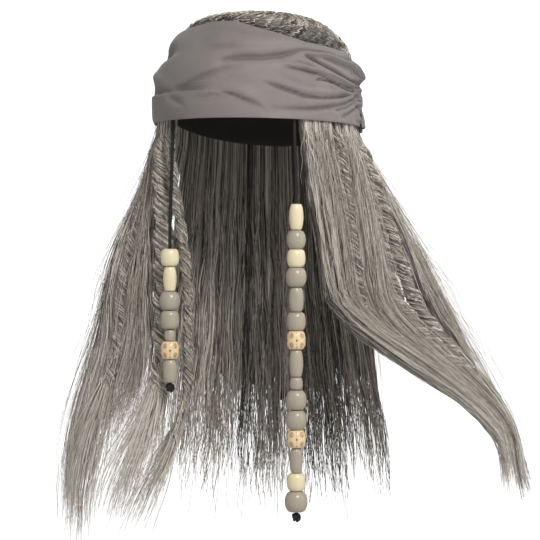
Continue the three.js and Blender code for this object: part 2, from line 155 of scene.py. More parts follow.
def number(label, description, default):
    return bpy.props.FloatProperty(name=label, description=description, default=default)


def linear(code):
    """A six-digit screen colour as scene-linear red, green and blue."""
    channels = [int(code[i : i + 2], 16) / 255 for i in (0, 2, 4)]
    return tuple(c / 12.92 if c <= 0.04045 else ((c + 0.055) / 1.055) ** 2.4 for c in channels)


def tint(label, description, code):
    return bpy.props.FloatVectorProperty(
        name=label, description=description, default=linear(code), subtype="COLOR", size=3, min=0.0, max=1.0
    )


class HeadSizes(bpy.types.PropertyGroup):
    """The hollow for the head, and the cap in it."""

    width: length("Width", "Width of the head hollow", 0.149)
    length: length("Length", "Length of the head hollow from front to back", 0.190)
    girth: length("Crown to girth", "Height of the crown over the head's widest level", 0.074)
    wall: length("Cap wall", "Thickness of the cap", 0.002)
    rim_front: length("Rim at front", "Drop of the cap's rim at the front", 0.064)
    rim_side: length("Rim at sides", "Drop of the cap's rim at the sides", 0.076)
    rim_back: length("Rim at back", "Drop of the cap's rim at the back", 0.094)
    clearance: length("Clearance", "Gap between neighbouring layers", 0.00035)


class ScarfSizes(bpy.types.PropertyGroup):
    """The head scarf: a front panel, and a ruched band behind."""

    wall: length("Wall", "Thickness of the cloth", 0.0016)
    hem_front: length("Hem at front", "Drop of the hem at the front", 0.075)
    hem_side: length("Hem at sides", "Drop of the hem at the sides", 0.079)
    hem_back: length("Hem at back", "Drop of the hem at the back", 0.092)
    height: length("Height", "Height of the front panel above its hem", 0.087)
    slack: length("Slack", "How far the cloth stands off the hair", 0.0005)
    band: length("Band height", "Height of the ruched band behind the head", 0.044)
    frill: length("Band frill", "Depth of the band's pleats", 0.0015)
    pleats: whole("Band pleats", "Number of main pleats along the band", 11)


class HairSizes(bpy.types.PropertyGroup):
    """The crown and the locks."""

    depth: length("Depth", "Depth of the hair under the scarf", 0.010)
    crown_depth: length("Crown depth", "Depth of the hair on the top of the head", 0.016)
    crown_edge: length("Crown edge", "Drop of the crown hair's lower edge", 0.050)
    crown_puff: length("Crown puff", "How far bare crown hair stands above covered hair", 0.0022)
    margin: length("Root margin", "Space round the roots of the locks", 0.00065)
    length: length("Length", "Fall of the longest lock below the scarf", 0.365)
    fullness: number("Fullness", "Depth of the falling hair as a share of its depth at the root", 1.7)
    tip: length("Tip depth", "Depth of the locks at their tips", 0.003)
    relief: length("Relief", "Depth of the furrows in a loose lock", 0.0022)
    twist: length("Twist width", "Usual width of a twisted lock", 0.012)
    proud: length("Twist proud", "How far a twisted lock stands out from the loose ones", 0.0035)
    strand: length("Strand", "Usual width of a strand", 0.00062)
    flight: length("Flight", "How far loose hairs fly out from their lock", 0.03)
    seed: whole("Seed", "Seed of the hair's irregularity", 11)


class BeadSizes(bpy.types.PropertyGroup):
    """The bead strings."""

    size: length("Bead size", "Size that all beads share in", 0.017)
    cord: length("Cord", "Width of the cord", 0.003)
    knot: length("Knot", "Width and height of the knot below the beads", 0.008)
    left_drop: length("Left drop", "Height of the left string's first bead below the crown", 0.147)
    right_drop: length("Right drop", "Height of the right string's first bead below the crown", 0.185)
    forward: length("Forward", "How far the strings hang in front of the scarf's edge", 0.009)
    outward: length("Outward", "How far the left string hangs out sideways", 0.004)


class Finishes(bpy.types.PropertyGroup):
    """The colours."""

    hair_dark: tint("Hair, dark", "Deepest hair colour", "3f3e3c")
    hair_mid: tint("Hair, middle", "Main hair colour", "a29a8f")
    hair_light: tint("Hair, light", "Colour of the light streaks", "ddd2c3")
    hair_pale: tint("Hair, pale", "Colour of the bleached tips", "f8f1e7")
    scarf: tint("Scarf", "Cloth of the scarf", "8b8481")
    cap: tint("Cap", "Net of the cap", "484542")
    cord: tint("Cord", "Cord of the bead strings", "1b1816")
    bead_grey: tint("Grey beads", "Paint of the grey beads", "b4a997")
    bead_cream: tint("Cream beads", "Paint of the cream beads", "f5e6c0")
    bead_ground: tint("Ringed beads", "Ground of the ringed beads", "f3dcae")
    bead_ring: tint("Rings", "Rings on the ringed beads", "a2400e")
    bead_dot: tint("Dots", "Dots on the ringed beads", "a8281c")


def smooth(share):
    share = np.clip(share, 0.0, 1.0)
    return share * share * (3 - 2 * share)


def lerp(low, high, share):
    return low + (high - low) * share


def between(rows, angle, column):
    """A value of a table between its rows, by angle."""
    return np.interp(angle, rows["angle"], rows[column])


def layers():
    """How far each layer's face stands off the head: at the side, and above it."""
    head = bpy.context.scene.wig_head
    hair = bpy.context.scene.wig_hair
    inner = head.wall + head.clearance
    outer = inner + hair.depth
    top = inner + hair.crown_depth
    return SimpleNamespace(
        inner=inner, outer=outer, top=top, scarf=outer + head.clearance, scarf_top=top + head.clearance
    )


def edge_height(angle, front, side, back):
    """Height of an edge that runs round the head, given its drop at the front, side and back."""
    forward = -np.sin(np.radians(angle))
    return -np.where(forward > 0, lerp(side, front, forward), lerp(side, back, -forward))


def hem_height(angle):
    scarf = bpy.context.scene.wig_scarf
    return edge_height(angle, scarf.hem_front, scarf.hem_side, scarf.hem_back)


def rim_height(angle):
    head = bpy.context.scene.wig_head
    return edge_height(angle, head.rim_front, head.rim_side, head.rim_back)


def scarf_top_height(angle):
    """The top edge of whichever part of the scarf lies at this angle."""
    scarf = bpy.context.scene.wig_scarf
    turn = np.mod(angle, 360)
    on_front = (turn >= SCARF_START) | (turn <= SCARF_END - 360)
    front_turn = np.where(turn < SCARF_START, turn + 360, turn)
    front = scarf.height * between(SCARF_TOP, front_turn, "height")
    behind = lerp(scarf.height * SCARF_TOP["height"][0], scarf.band, np.sin(np.radians(turn)))
    return hem_height(angle) + np.where(on_front, front, behind)


def dome_power(top):
    return lerp(HEAD_POWER, CROWN_POWER, np.minimum(1.0, top / layers().top))


def head_point(angle, latitude, side, top):
    """The head's surface grown by side round it and by top above it. Latitude is 0 at the girth and a
    quarter turn at the crown, and the wall is straight below the girth."""
    head = bpy.context.scene.wig_head
    angle, latitude, side, top = np.broadcast_arrays(angle, latitude, side, top)
    turn = np.radians(angle)
    power = dome_power(top)
    above = np.clip(latitude, 0.0, math.pi / 2)
    inward = np.where(latitude > 0, np.cos(above) ** (2 / power), 1.0)
    rise = np.where(latitude > 0, np.sin(above) ** (2 / power), latitude)
    x = (head.width / 2 + side) * inward * np.cos(turn)
    y = (head.length / 2 + side) * inward * np.sin(turn)
    return np.stack([x, y, (head.girth + top) * rise - head.girth], axis=-1)


def latitude_at(height, top):
    head = bpy.context.scene.wig_head
    rise = (height + head.girth) / (head.girth + top)
    return np.where(rise > 0, np.arcsin(np.clip(rise, 0.0, 1.0) ** (dome_power(top) / 2)), rise)


def fall_centre(side, angle, drop):
    """The middle of the hair's depth at an angle, drop metres below the scarf's hem. Above the hem,
    where drop is negative, it lies between the cap and the scarf."""
    hair = bpy.context.scene.wig_hair
    rows = FALLS[side]
    layer = layers()
    angle, drop = np.broadcast_arrays(angle, drop)
    middle = (layer.inner + layer.outer) / 2
    hem = hem_height(angle)
    share = drop / hair.length
    start, end = between(rows, angle, "start"), between(rows, angle, "end")
    sideways = (
        between(rows, angle, "flare") * share
        + between(rows, angle, "early") * smooth(share / EARLY_END)
        + between(rows, angle, "late") * smooth((share - start) / (end - start))
    )
    falling = head_point(angle, 0.0, middle, 0.0)
    falling[..., 0] += sideways * hair.length
    falling[..., 1] += between(rows, angle, "back") * smooth(share / BACK_END) * hair.length
    falling[..., 2] = hem - drop
    top = (layer.inner + layer.top) / 2
    covered = head_point(angle, latitude_at(hem - drop, top), middle, top)
    return np.where(drop[..., None] < 0, covered, falling)


def unit(vectors):
    return vectors / np.maximum(np.linalg.norm(vectors, axis=-1, keepdims=True), 1e-12)


def fall_axes(side, angle, drop):
    """Unit vectors across the falling hair and outwards from it."""
    step, reach = 1.5, 0.004
    angle, drop = np.broadcast_arrays(angle, drop)
    low, high = FALLS[side]["angle"][[0, -1]]
    angle = np.clip(angle, low, high)
    before, after = np.maximum(low, angle - step), np.minimum(high, angle + step)
    across = fall_centre(side, after, drop) - fall_centre(side, before, drop)
    down = unit(fall_centre(side, angle, drop + reach) - fall_centre(side, angle, drop - reach))
    outward = unit(-np.cross(across, down))
    return np.cross(down, outward), outward


def fall_depth(share):
    """The hair thickens below the scarf and thins towards the tips."""
    hair = bpy.context.scene.wig_hair
    full = lerp(hair.depth - 2 * hair.margin, hair.depth * hair.fullness, smooth(share / 0.3))
    return lerp(full, hair.tip, smooth((share - 0.5) / 0.5))


def root_drop(angle):
    """Where a lock starts, just below the crown's lower edge."""
    hair = bpy.context.scene.wig_hair
    return hem_height(angle) + hair.crown_edge + bpy.context.scene.wig_head.clearance + hair.margin


def grid_faces(rows, columns, wrap=False):
    """Quads between neighbouring rows of points, each with this many columns."""
    row = np.arange(rows - 1)[:, None] * columns
    left = np.arange(columns if wrap else columns - 1)[None, :]
    right = (left + 1) % columns
    corners = np.stack([row + left, row + right, row + columns + right, row + columns + left], axis=-1)
    return corners.reshape(-1, 4).tolist()


def rework(mesh, change=None):
    """Changes a mesh's faces, where a change is given, and turns them all outwards."""
    work = bmesh.new()
    work.from_mesh(mesh)
    if change:
        change(work)
    bmesh.ops.recalc_face_normals(work, faces=work.faces)
    work.to_mesh(mesh)
    work.free()


def weld(piece):
    """Merges the points that close a surface on itself."""
    rework(piece.data, lambda work: bmesh.ops.remove_doubles(work, verts=work.verts, dist=1e-6))


def point_values(mesh, **values):
    """Gives each point of a mesh its named values."""
    for key, numbers in values.items():
        layer = mesh.attributes.new(key, "FLOAT", "POINT")
        layer.data.foreach_set("value", np.ravel(numbers).astype(np.float32))


def show(name, data):
    """An object in the scene for a mesh, a lamp or a camera."""
    made = bpy.data.objects.new(name, data)
    bpy.context.scene.collection.objects.link(made)
    return made


def solid(name, points, faces, uv=None, **values):
    """A mesh object with its faces turned outwards, a flat map and named values for each point."""
    mesh = bpy.data.meshes.new(name)
    mesh.from_pydata(np.asarray(points).reshape(-1, 3).tolist(), [], faces)
    rework(mesh)
    point_values(mesh, **values)
    if uv is not None:
        corner = np.zeros(len(mesh.loops), np.int32)
        mesh.loops.foreach_get("vertex_index", corner)
        flat = np.asarray(uv, np.float32).reshape(-1, 2)[corner]
        mesh.uv_layers.new(name="Surface").data.foreach_set("uv", flat.ravel())
    mesh.shade_smooth()
    return show(name, mesh)


def rings_solid(name, rings, **values):
    """A closed solid through rings of points, with flat ends."""
    count, columns = rings.shape[:2]
    faces = grid_faces(count, columns, wrap=True)
    faces.append(list(range(columns)))
    faces.append(list(range((count - 1) * columns, count * columns)))
    return solid(name, rings, faces, **values)


def wall_solid(name, outer, inner, uv=None, wrap=False, **values):
    """A closed wall between two grids of points. A wrapped grid's last column meets its first."""
    rows, columns = outer.shape[:2]
    front = np.array(grid_faces(rows, columns, wrap))
    size = rows * columns
    grid = np.arange(size).reshape(rows, columns)
    edges = [grid[0], grid[-1]]
    if wrap:
        edges = [np.append(edge, edge[0]) for edge in edges]
    else:
        edges += [grid[:, 0], grid[:, -1]]
    rim = [
        [int(a), int(b), int(b) + size, int(a) + size] for edge in edges for a, b in zip(edge[:-1], edge[1:])
    ]
    faces = front.tolist() + (front[:, ::-1] + size).tolist() + rim
    points = np.concatenate([outer.reshape(-1, 3), inner.reshape(-1, 3)])
    both = None if uv is None else np.concatenate([uv.reshape(-1, 2)] * 2)
    doubled = {key: np.tile(np.ravel(numbers), 2) for key, numbers in values.items()}
    return solid(name, points, faces, uv=both, **doubled)


def join(name, *objects):
    """Joins mesh objects into the first, under a new name."""
    first = objects[0]
    if len(objects) > 1:
        with bpy.context.temp_override(active_object=first, selected_editable_objects=list(objects)):
            bpy.ops.object.join()
    first.name = name
    first.data.name = name
    return first


def place(piece, slot, *nodes):
    """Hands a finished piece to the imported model's one body."""
    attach(piece, "root")
    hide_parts(*nodes)
    return piece


def hair_piece(name, seed, make_body, grow, *given):
    """A piece of hair: the strands of each function in grow, joined with the body under them."""
    rng = np.random.default_rng(bpy.context.scene.wig_hair.seed + seed)
    bundle = Strands(name + "_strands")
    for add_strands in grow:
        add_strands(*given, bundle, rng)
    strands = bundle.sweep(painted("grey_hair", paint_hair))
    body = make_body(*given)
    body.data.materials.append(painted("grey_hair", paint_hair))
    place(join(name + "_piece", strands, body), "hair", name)


def new_tree(name, kind, inputs, outputs):
    """A node tree with named sockets: each input is its name, type and default."""
    tree = bpy.data.node_groups.new(name, kind)
    for label, socket_type, default in inputs:
        socket = tree.interface.new_socket(label, in_out="INPUT", socket_type="NodeSocket" + socket_type)
        if default is not None:
            socket.default_value = default
    for label, socket_type in outputs:
        tree.interface.new_socket(label, in_out="OUTPUT", socket_type="NodeSocket" + socket_type)
    return tree


def fill(tree, node, values):
    """Gives a node's sockets their plain values and their links. A socket as a value makes a link."""
    for key, value in values.items():
        if isinstance(value, bpy.types.NodeSocket):
            tree.links.new(value, node.inputs[key])
        else:
            node.inputs[key].default_value = value
    return node


def add(tree, kind, values=None, **settings):
    """A node with its settings, its plain values and its links."""
    made = tree.nodes.new(kind)
    for key, value in settings.items():
        setattr(made, key, value)
    return fill(tree, made, values or {})


def calc(tree, operation, first, second=0.0, third=0.0):
    """The result of a maths node, from numbers and sockets."""
    return add(tree, "ShaderNodeMath", {0: first, 1: second, 2: third}, operation=operation).outputs[0]


def sine(tree, value, pitch, shift=0.0):
    """A sine wave of a value, with its pitch in radians for each unit."""
    return calc(tree, "SINE", calc(tree, "MULTIPLY_ADD", value, pitch, shift))


def flat_map(tree):
    """The two coordinates of a piece's flat map."""
    flat = add(tree, "ShaderNodeUVMap", uv_map="Surface").outputs["UV"]
    split = add(tree, "ShaderNodeSeparateXYZ", {"Vector": flat})
    return split.outputs["X"], split.outputs["Y"]


def strand_tree():
    """Sweeps each line of a mesh into a thin closed tube, as wide as its width attribute says."""
    name = "Hair Strands"
    if name in bpy.data.node_groups:
        return bpy.data.node_groups[name]
    inputs = [("Geometry", "Geometry", None), ("Sides", "Int", 3), ("Material", "Material", None)]
    tree = new_tree(name, "GeometryNodeTree", inputs, [("Geometry", "Geometry")])
    given = tree.nodes.new("NodeGroupInput").outputs
    lines = add(tree, "GeometryNodeMeshToCurve", {"Mesh": given["Geometry"]})
    ring = add(tree, "GeometryNodeCurvePrimitiveCircle", {"Resolution": given["Sides"], "Radius": 0.5})
    width = add(tree, "GeometryNodeInputNamedAttribute", {"Name": "width"}, data_type="FLOAT")
    tube = add(
        tree,
        "GeometryNodeCurveToMesh",
        {
            "Curve": lines.outputs["Curve"],
            "Profile Curve": ring.outputs["Curve"],
            "Scale": width.outputs["Attribute"],
            "Fill Caps": True,
        },
    )
    soft = add(tree, "GeometryNodeSetShadeSmooth", {"Geometry": tube.outputs["Mesh"], "Shade Smooth": True})
    real = add(tree, "GeometryNodeRealizeInstances", {"Geometry": soft.outputs["Geometry"]})
    values = {"Geometry": real.outputs["Geometry"], "Material": given["Material"]}
    dressed = add(tree, "GeometryNodeSetMaterial", values)
    add(tree, "NodeGroupOutput", {"Geometry": dressed.outputs["Geometry"]})
    return tree


def settle(piece, tree, **inputs):
    """Runs a geometry tree on a piece and keeps the result as its plain mesh."""
    modifier = piece.modifiers.new(tree.name, "NODES")
    modifier.node_group = tree
    for item in tree.interface.items_tree:
        if item.in_out == "INPUT" and item.name in inputs:
            modifier[item.identifier] = inputs[item.name]
    graph = bpy.context.evaluated_depsgraph_get()
    made = bpy.data.meshes.new_from_object(
        piece.evaluated_get(graph), preserve_all_data_layers=True, depsgraph=graph
    )
    piece.modifiers.clear()
    piece.data = made
    return piece


class Strands:
    """Lines for a lock's strands, gathered in batches and swept into tubes together."""

    def __init__(self, name):
        self.name = name
        self.points = []
        self.edges = []
        self.widths = []
        self.shades = []
        self.size = 0

    def add(self, paths, widths, shades):
        """Takes as many strands as paths has rows, each with a width and a shade at each point."""
        count, points = paths.shape[:2]
        index = self.size + np.arange(count * points).reshape(count, points)
        self.points.append(paths.reshape(-1, 3))
        self.edges.append(np.stack([index[:, :-1], index[:, 1:]], axis=-1).reshape(-1, 2))
        self.widths.append(np.broadcast_to(widths, (count, points)).ravel())
        self.shades.append(np.broadcast_to(shades, (count, points)).ravel())
        self.size += count * points

    def sweep(self, material):
        mesh = bpy.data.meshes.new(self.name)
        mesh.from_pydata(np.concatenate(self.points).tolist(), np.concatenate(self.edges).tolist(), [])
        point_values(mesh, width=np.concatenate(self.widths), shade=np.concatenate(self.shades))
        return settle(show(self.name, mesh), strand_tree(), Sides=SIDES, Material=material)


def painted(name, paint, *given):
    """The material of this name. Its first call makes it, and has paint wire its tree and its shader."""
    if name not in bpy.data.materials:
        made = bpy.data.materials.new(name)
        made.use_nodes = True
        paint(made.node_tree, made.node_tree.nodes["Principled BSDF"], *given)
    return bpy.data.materials[name]


def noise(tree, scale, stretch=(1, 1, 1), detail=2.0, **values):
    """Noise on the piece's own coordinates, stretched by the scale of each axis."""
    where = add(tree, "ShaderNodeTexCoord")
    mapped = add(tree, "ShaderNodeMapping", {"Vector": where.outputs["Object"], "Scale": stretch})
    made = add(
        tree,
        "ShaderNodeTexNoise",
        {"Vector": mapped.outputs["Vector"], "Scale": scale, "Detail": detail, **values},
    )
    return made.outputs["Fac"]


def ramp(tree, factor, *stops):
    """Colours between stops, each a place and a linear colour."""
    made = add(tree, "ShaderNodeValToRGB", {"Fac": factor})
    elements = made.color_ramp.elements
    while len(elements) > 1:
        elements.remove(elements[-1])
    for i, (place_at, colour) in enumerate(stops):
        element = elements[0] if i == 0 else elements.new(place_at)
        element.position = place_at
        element.color = (*colour, 1.0)
    return made.outputs["Color"]


def bump(tree, height, strength, distance):
    made = add(tree, "ShaderNodeBump", {"Height": height, "Strength": strength, "Distance": distance})
    return made.outputs["Normal"]


def paint_hair(tree, shader):
    """Each strand's shade on a ramp from dark to pale, with fine fibres along it."""
    finish = bpy.context.scene.wig_finishes
    shade = add(tree, "ShaderNodeAttribute", attribute_name="shade").outputs["Fac"]
    fibres = noise(tree, 1500, stretch=(1, 1, 0.06), detail=1.0)
    mixed = calc(tree, "ADD", shade, calc(tree, "MULTIPLY_ADD", fibres, 0.4, -0.2))
    places = (0.0, 0.4, 0.72, 1.0)
    colours = (finish.hair_dark, finish.hair_mid, finish.hair_light, finish.hair_pale)
    colour = ramp(tree, mixed, *zip(places, colours))
    values = {"Roughness": 0.46, "Specular IOR Level": 0.5}
    fill(tree, shader, {"Base Color": colour, "Normal": bump(tree, fibres, 0.35, 0.0003), **values})


def loose_lock(name, side, start, end, ridges, strands, tone, pale, spread, flyaways, loose_edge):
    return SimpleNamespace(**locals())


# The loose locks, each between two angles of its fall. Ridges is the number of strands of the lock that
# show on it, tone how light its hair is, pale how far its tips are bleached, spread how many degrees its
# hairs stray at the tips, and loose edge the end, 0 or 1, that most of its flyaway hairs leave.
LOOSE_LOCKS = [
    loose_lock("hair_left_front", "left", -46, -26.4, 4, 840, 0.54, 0.35, 1.6, 190, 1),
    loose_lock("hair_left_middle", "left", -13.5, -3, 3, 620, 0.57, 0.35, 2.2, 170, 1),
    loose_lock("hair_left_side", "left", 20, 42, 4, 740, 0.57, 0.4, 2.0, 220, 0),
    loose_lock("hair_back_left", "back", 46, 73.8, 2, 520, 0.44, 0.2, 2.0, 60, 0),
    loose_lock("hair_back_middle_left", "back", 74.2, 101.8, 2, 520, 0.42, 0.2, 2.0, 40, 0),
    loose_lock("hair_back_middle_right", "back", 102.2, 129.8, 2, 520, 0.42, 0.2, 2.0, 40, 1),
    loose_lock("hair_back_right", "back", 130.2, 158, 2, 520, 0.44, 0.3, 2.0, 60, 1),
    loose_lock("hair_right_side", "right", 162, 178.8, 3, 740, 0.46, 0.9, 2.8, 200, 0),
    loose_lock("hair_right_middle", "right", 179.2, 195.6, 3, 820, 0.42, 1.1, 3.8, 110, 0),
    loose_lock("hair_right_inner", "right", 205.8, 211, 2, 540, 0.45, 1.1, 4.0, 120, 1),
]


def twisted_lock(name, side, angle, width, open, turns, tone, pale):
    return SimpleNamespace(**locals())


# The twisted locks. Width is a share of the usual twist width, open the share of the fall where the
# twist opens into a loose tail, tone how light its hair is, and pale how far the tail is bleached.
TWISTED_LOCKS = [
    twisted_lock("twist_left_front", "left", -19.6, 0.93, 0.62, 4, 0.46, 0.3),
    twisted_lock("twist_left_middle", "left", 2.8, 0.92, 0.7, 4.5, 0.46, 0.3),
    twisted_lock("twist_left_side", "left", 13.4, 1.0, 0.72, 4.5, 0.48, 0.3),
    twisted_lock("twist_right_side", "right", 200.9, 1.03, 0.62, 4, 0.42, 1.2),
    # This twist's tone is raised as painted light, for the light that falls on it at the front
    twisted_lock("twist_right_front", "right", 217.6, 1.3, 0.66, 4, 0.74, 1.2),
    twisted_lock("twist_right_inner", "right", 226.6, 0.73, 0.76, 5, 0.5, 1.2),
]


def lock_section(lock, turn, share):
    """Half the lock's depth and how deep its furrow is, at a place across it and down it."""
    hair = bpy.context.scene.wig_hair
    ridge = np.abs(np.sin(math.pi * lock.ridges * turn))
    edge = np.minimum(1.0, 0.55 + 3 * np.minimum(turn, 1 - turn))
    half = fall_depth(share) / 2 * lerp(1.0, edge, smooth(share / 0.2))
    furrow = np.minimum(hair.relief, half / 2) * (1 - ridge) * smooth(share / 0.15)
    return half, furrow


def lock_body(lock, inset=0.0014, reach=0.66):
    """The lock's own form, a little inside its strands, with a ragged lower edge. It is painted darker than
    its strands, as painted shade in the gaps between them, and paler towards the bleached tips.
    """
    turn = np.linspace(0, 1, lock.ridges * 8 + 1)
    rows = np.concatenate([[-1.0], np.linspace(0, 1, 22)])[:, None]
    prong = np.abs(np.sin(math.pi * 2 * lock.ridges * turn)) * (1 + 0.3 * np.sin(turn * 11 + lock.start))
    ragged = reach * (0.82 + 0.16 * prong)[None, :]
    share = np.clip(rows, 0, 1) * ragged
    angle = lerp(lock.start, lock.end, turn)[None, :]
    fall = between(FALLS[lock.side], angle, "fall") * bpy.context.scene.wig_hair.length
    drop = np.where(rows < 0, root_drop(angle), share * fall)
    half, furrow = lock_section(lock, turn[None, :], share)
    inset = np.minimum(inset, half * 0.5)
    taper = 1 - 0.8 * smooth((rows - 0.6) / 0.4)
    centre = fall_centre(lock.side, angle, drop)
    outward = fall_axes(lock.side, angle, drop)[1]
    outer = centre + outward * ((half - furrow - inset) * taper)[..., None]
    inner = centre - outward * ((half - inset) * taper)[..., None]
    rings = np.concatenate([outer, inner[:, ::-1]], axis=1)
    across = np.concatenate([turn, turn[::-1]])
    # Painted shade: the body is darker than the lock's strands, so the gaps between them look shaded
    shade = lock.tone - 0.16 + 0.1 * np.sin(across * TAU * lock.ridges * 2.3)
    shade = shade + 0.4 * lock.pale * smooth((rows - 0.4) / 0.6)
    return rings_solid(lock.name + "_body", rings, shade=np.broadcast_to(shade, rings.shape[:2]))


def waves(rng, count, travel, size, wavelength, growth):
    """A wave along each strand, with its own phase and pitch, that grows from the root."""
    phase = rng.uniform(0, TAU, (count, 1))
    pitch = wavelength * rng.uniform(0.8, 1.3, (count, 1))
    return size * growth * np.sin(TAU * travel / pitch + phase)


def loose_strands(lock, bundle, rng):
    """Strands over the whole face of a loose lock, drawn together in clumps towards its tips."""
    hair = bpy.context.scene.wig_hair
    count, points = lock.strands, 12
    bleached = min(lock.pale, 1.0)
    clumps = lock.ridges * (8 if lock.pale < 1 else 6)
    clump_turn = (np.arange(clumps) + rng.uniform(0.1, 0.9, clumps)) / clumps
    clump_reach = rng.uniform(0.86 - 0.16 * bleached, 1.0, clumps)
    clump_layer = rng.uniform(-0.8, 0.8, clumps)
    clump_shade = rng.normal(lock.tone, 0.3, clumps)
    clump_phase = rng.uniform(0, TAU, clumps)

    turn = rng.uniform(0, 1, count)
    outer_share, edge_share = 0.5 if lock.side == "back" else 0.66, 0.14
    face = np.where(rng.uniform(size=count) < outer_share, 1.0, -1.0)
    below = rng.uniform(0, 0.0016, count)
    edge = rng.uniform(size=count) < edge_share
    turn = np.clip(np.where(edge, np.round(turn) + rng.normal(0, 0.015, count), turn), 0, 1)
    below = np.where(edge, rng.uniform(0, 0.008, count), below)
    own = np.argmin(np.abs(turn[:, None] - clump_turn[None, :]), axis=1)

    along = np.linspace(0, 1, points)[None, :]
    reach = (clump_reach[own] * rng.triangular(0.62, 0.97, 1.03, count))[:, None]
    share = lerp(-0.035, reach, along)
    tight = 0.5 if lock.side == "back" else 0.8 + 0.1 * bleached
    gather = tight * smooth((share - 0.3) / 0.65)
    now = np.clip(lerp(turn[:, None], clump_turn[own][:, None], gather), 0, 1)
    angle = lerp(lock.start, lock.end, now)
    straying = 0.25 * smooth(share / 0.3) + smooth((share - 0.3) / 0.6)
    angle = angle + rng.normal(0, lock.spread, (count, 1)) * straying
    drop = share * between(FALLS[lock.side], angle, "fall") * hair.length
    half, furrow = lock_section(lock, np.clip(now, 0, 1), np.clip(share, 0, 1))
    outside = np.where(face[:, None] > 0, half - furrow, half)
    offset = face[:, None] * np.maximum(outside - below[:, None], 0.1 * outside)
    offset = lerp(offset, clump_layer[own][:, None] * half, gather * 0.8)

    across, outward = fall_axes(lock.side, angle, drop)
    growth = smooth(share / 0.25)
    clump_wave = 0.0016 * growth * np.sin(TAU * drop / 0.085 + clump_phase[own][:, None])
    curl = smooth((share - 0.5) / 0.5) * (0.0015 + 0.0055 * lock.pale)
    sideways = clump_wave + waves(rng, count, drop, 0.0006, 0.05, growth)
    sideways = sideways + waves(rng, count, drop, 1.0, 0.085, curl)
    lift = waves(rng, count, drop, 0.0005, 0.06, growth)
    lift = lift + offset
    paths = fall_centre(lock.side, angle, drop) + across * sideways[..., None] + outward * lift[..., None]

    thinning = 0.35 if lock.side == "back" else 0.7
    width = tapered(rng, count, 0.7, 1.25, along, thinning, 0.45)
    shade = clump_shade[own][:, None] + streaks(rng, count)
    shade = shade + lock.pale * smooth((share - 0.4) / 0.45) * rng.uniform(0.3, 1.1, (count, 1))
    bundle.add(paths, width, shade)


def tapered(rng, count, low, high, along, thinning, start):
    """The widths of strands, between low and high times the usual, that thin from a share of their run."""
    width = bpy.context.scene.wig_hair.strand * rng.uniform(low, high, (count, 1))
    return width * (1 - thinning * smooth((along - start) / (1 - start)))


def streaks(rng, count):
    """How much lighter or darker each strand is than its neighbours: most a little, some a lot."""
    light_share, dark_share = 0.24, 0.3
    kind = rng.uniform(size=(count, 1))
    shade = rng.normal(0, 0.1, (count, 1))
    return shade + np.where(kind < light_share, 0.5, 0.0) - np.where(kind > 1 - dark_share, 0.42, 0.0)


def flyaways(lock, bundle, rng):
    """Fine hairs that lie across the lock and its neighbours, some of which drift off into the air."""
    hair = bpy.context.scene.wig_hair
    count, points = lock.flyaways, 10
    along = np.linspace(0, 1, points)[None, :]
    turn = np.abs(lock.loose_edge - np.abs(rng.normal(0, 0.4, (count, 1))))
    root_share = 0.5
    root = rng.uniform(size=(count, 1)) < root_share
    start = np.where(root, rng.uniform(-0.03, 0.1, (count, 1)), rng.uniform(-0.02, 0.55, (count, 1)))
    run = np.where(root, rng.uniform(0.1, 0.2, (count, 1)), rng.uniform(0.25, 0.6, (count, 1)))
    share = start + np.minimum(run, 0.98 - start) * along
    turn = np.where(root, rng.uniform(size=(count, 1)), turn)
    angle = lerp(lock.start, lock.end, turn) + rng.normal(0, 5, (count, 1)) * along
    drop = share * between(FALLS[lock.side], angle, "fall") * hair.length
    across, outward = fall_axes(lock.side, angle, drop)
    flying = rng.uniform(0, 1, (count, 1)) ** 3 * np.where(root, 0.25, 1.0)
    flight = hair.flight * (0.5 if lock.side == "back" else 1.0)
    drift = flight * flying * np.sin(math.pi * along**0.8 * 0.62)
    sideways = (2 * lock.loose_edge - 1) * drift * rng.uniform(0.4, 1, (count, 1))
    sideways = sideways + waves(rng, count, drop, 0.0014, 0.05, along)
    sideways = sideways + waves(rng, count, drop, 0.0015, 0.019, 1.0 * root)
    lift = fall_depth(np.clip(share, 0, 1)) / 2 + rng.uniform(0, 0.003, (count, 1)) * smooth(share / 0.1)
    lift = lift + drift * rng.uniform(0, 0.7, (count, 1)) + waves(rng, count, drop, 0.0008, 0.06, along)
    paths = fall_centre(lock.side, angle, drop) + across * sideways[..., None] + outward * lift[..., None]
    width = hair.strand * rng.uniform(0.5, 0.75, (count, 1)) * np.where(root, 1.5, 1.0) * (1 - 0.6 * along)
    bundle.add(paths, width, rng.normal(0.62, 0.24, (count, 1)))


def twist_place(lock, row):
    """The middle of a twisted lock, its axes and its half width and depth, down its fall."""
    hair = bpy.context.scene.wig_hair
    fall = between(FALLS[lock.side], lock.angle, "fall") * hair.length
    drop = row * fall
    middle = fall_centre(lock.side, lock.angle, drop)
    across, outward = fall_axes(lock.side, lock.angle, drop)
    free = smooth(row / 0.1)
    tail = smooth((row - lock.open) / (1 - lock.open))
    size = lerp(hair.depth / 2 - hair.margin, lock.width * hair.twist / 2, free)
    wide = size * lerp(1.0, 1.15, tail)
    deep = lerp(size, hair.tip / 2, tail)
    turned = TAU * lock.turns * np.clip((row - 0.03) / (lock.open - 0.03), 0, 1)
    middle = middle + outward * (hair.proud * free * (1 - tail))[..., None]
    return SimpleNamespace(
        middle=middle, across=across, outward=outward, wide=wide, deep=deep, turned=turned, free=free
    )


def twist_ring(lock, row, side, lift, wind=1.0):
    """Points on a twisted lock's surface. Side is the share of the way round, at the root, and wind how
    many times as fast as the lock itself the points go round it."""
    at = twist_place(lock, row)
    way = TAU * side + at.turned * wind
    lobe = 1 + 0.2 * at.free * np.cos(2 * (way - at.turned))
    wide = (at.wide * lobe + lift) * np.cos(way)
    deep = (at.deep * lobe + lift) * np.sin(way)
    return at.middle + at.across * wide[..., None] + at.outward * deep[..., None]


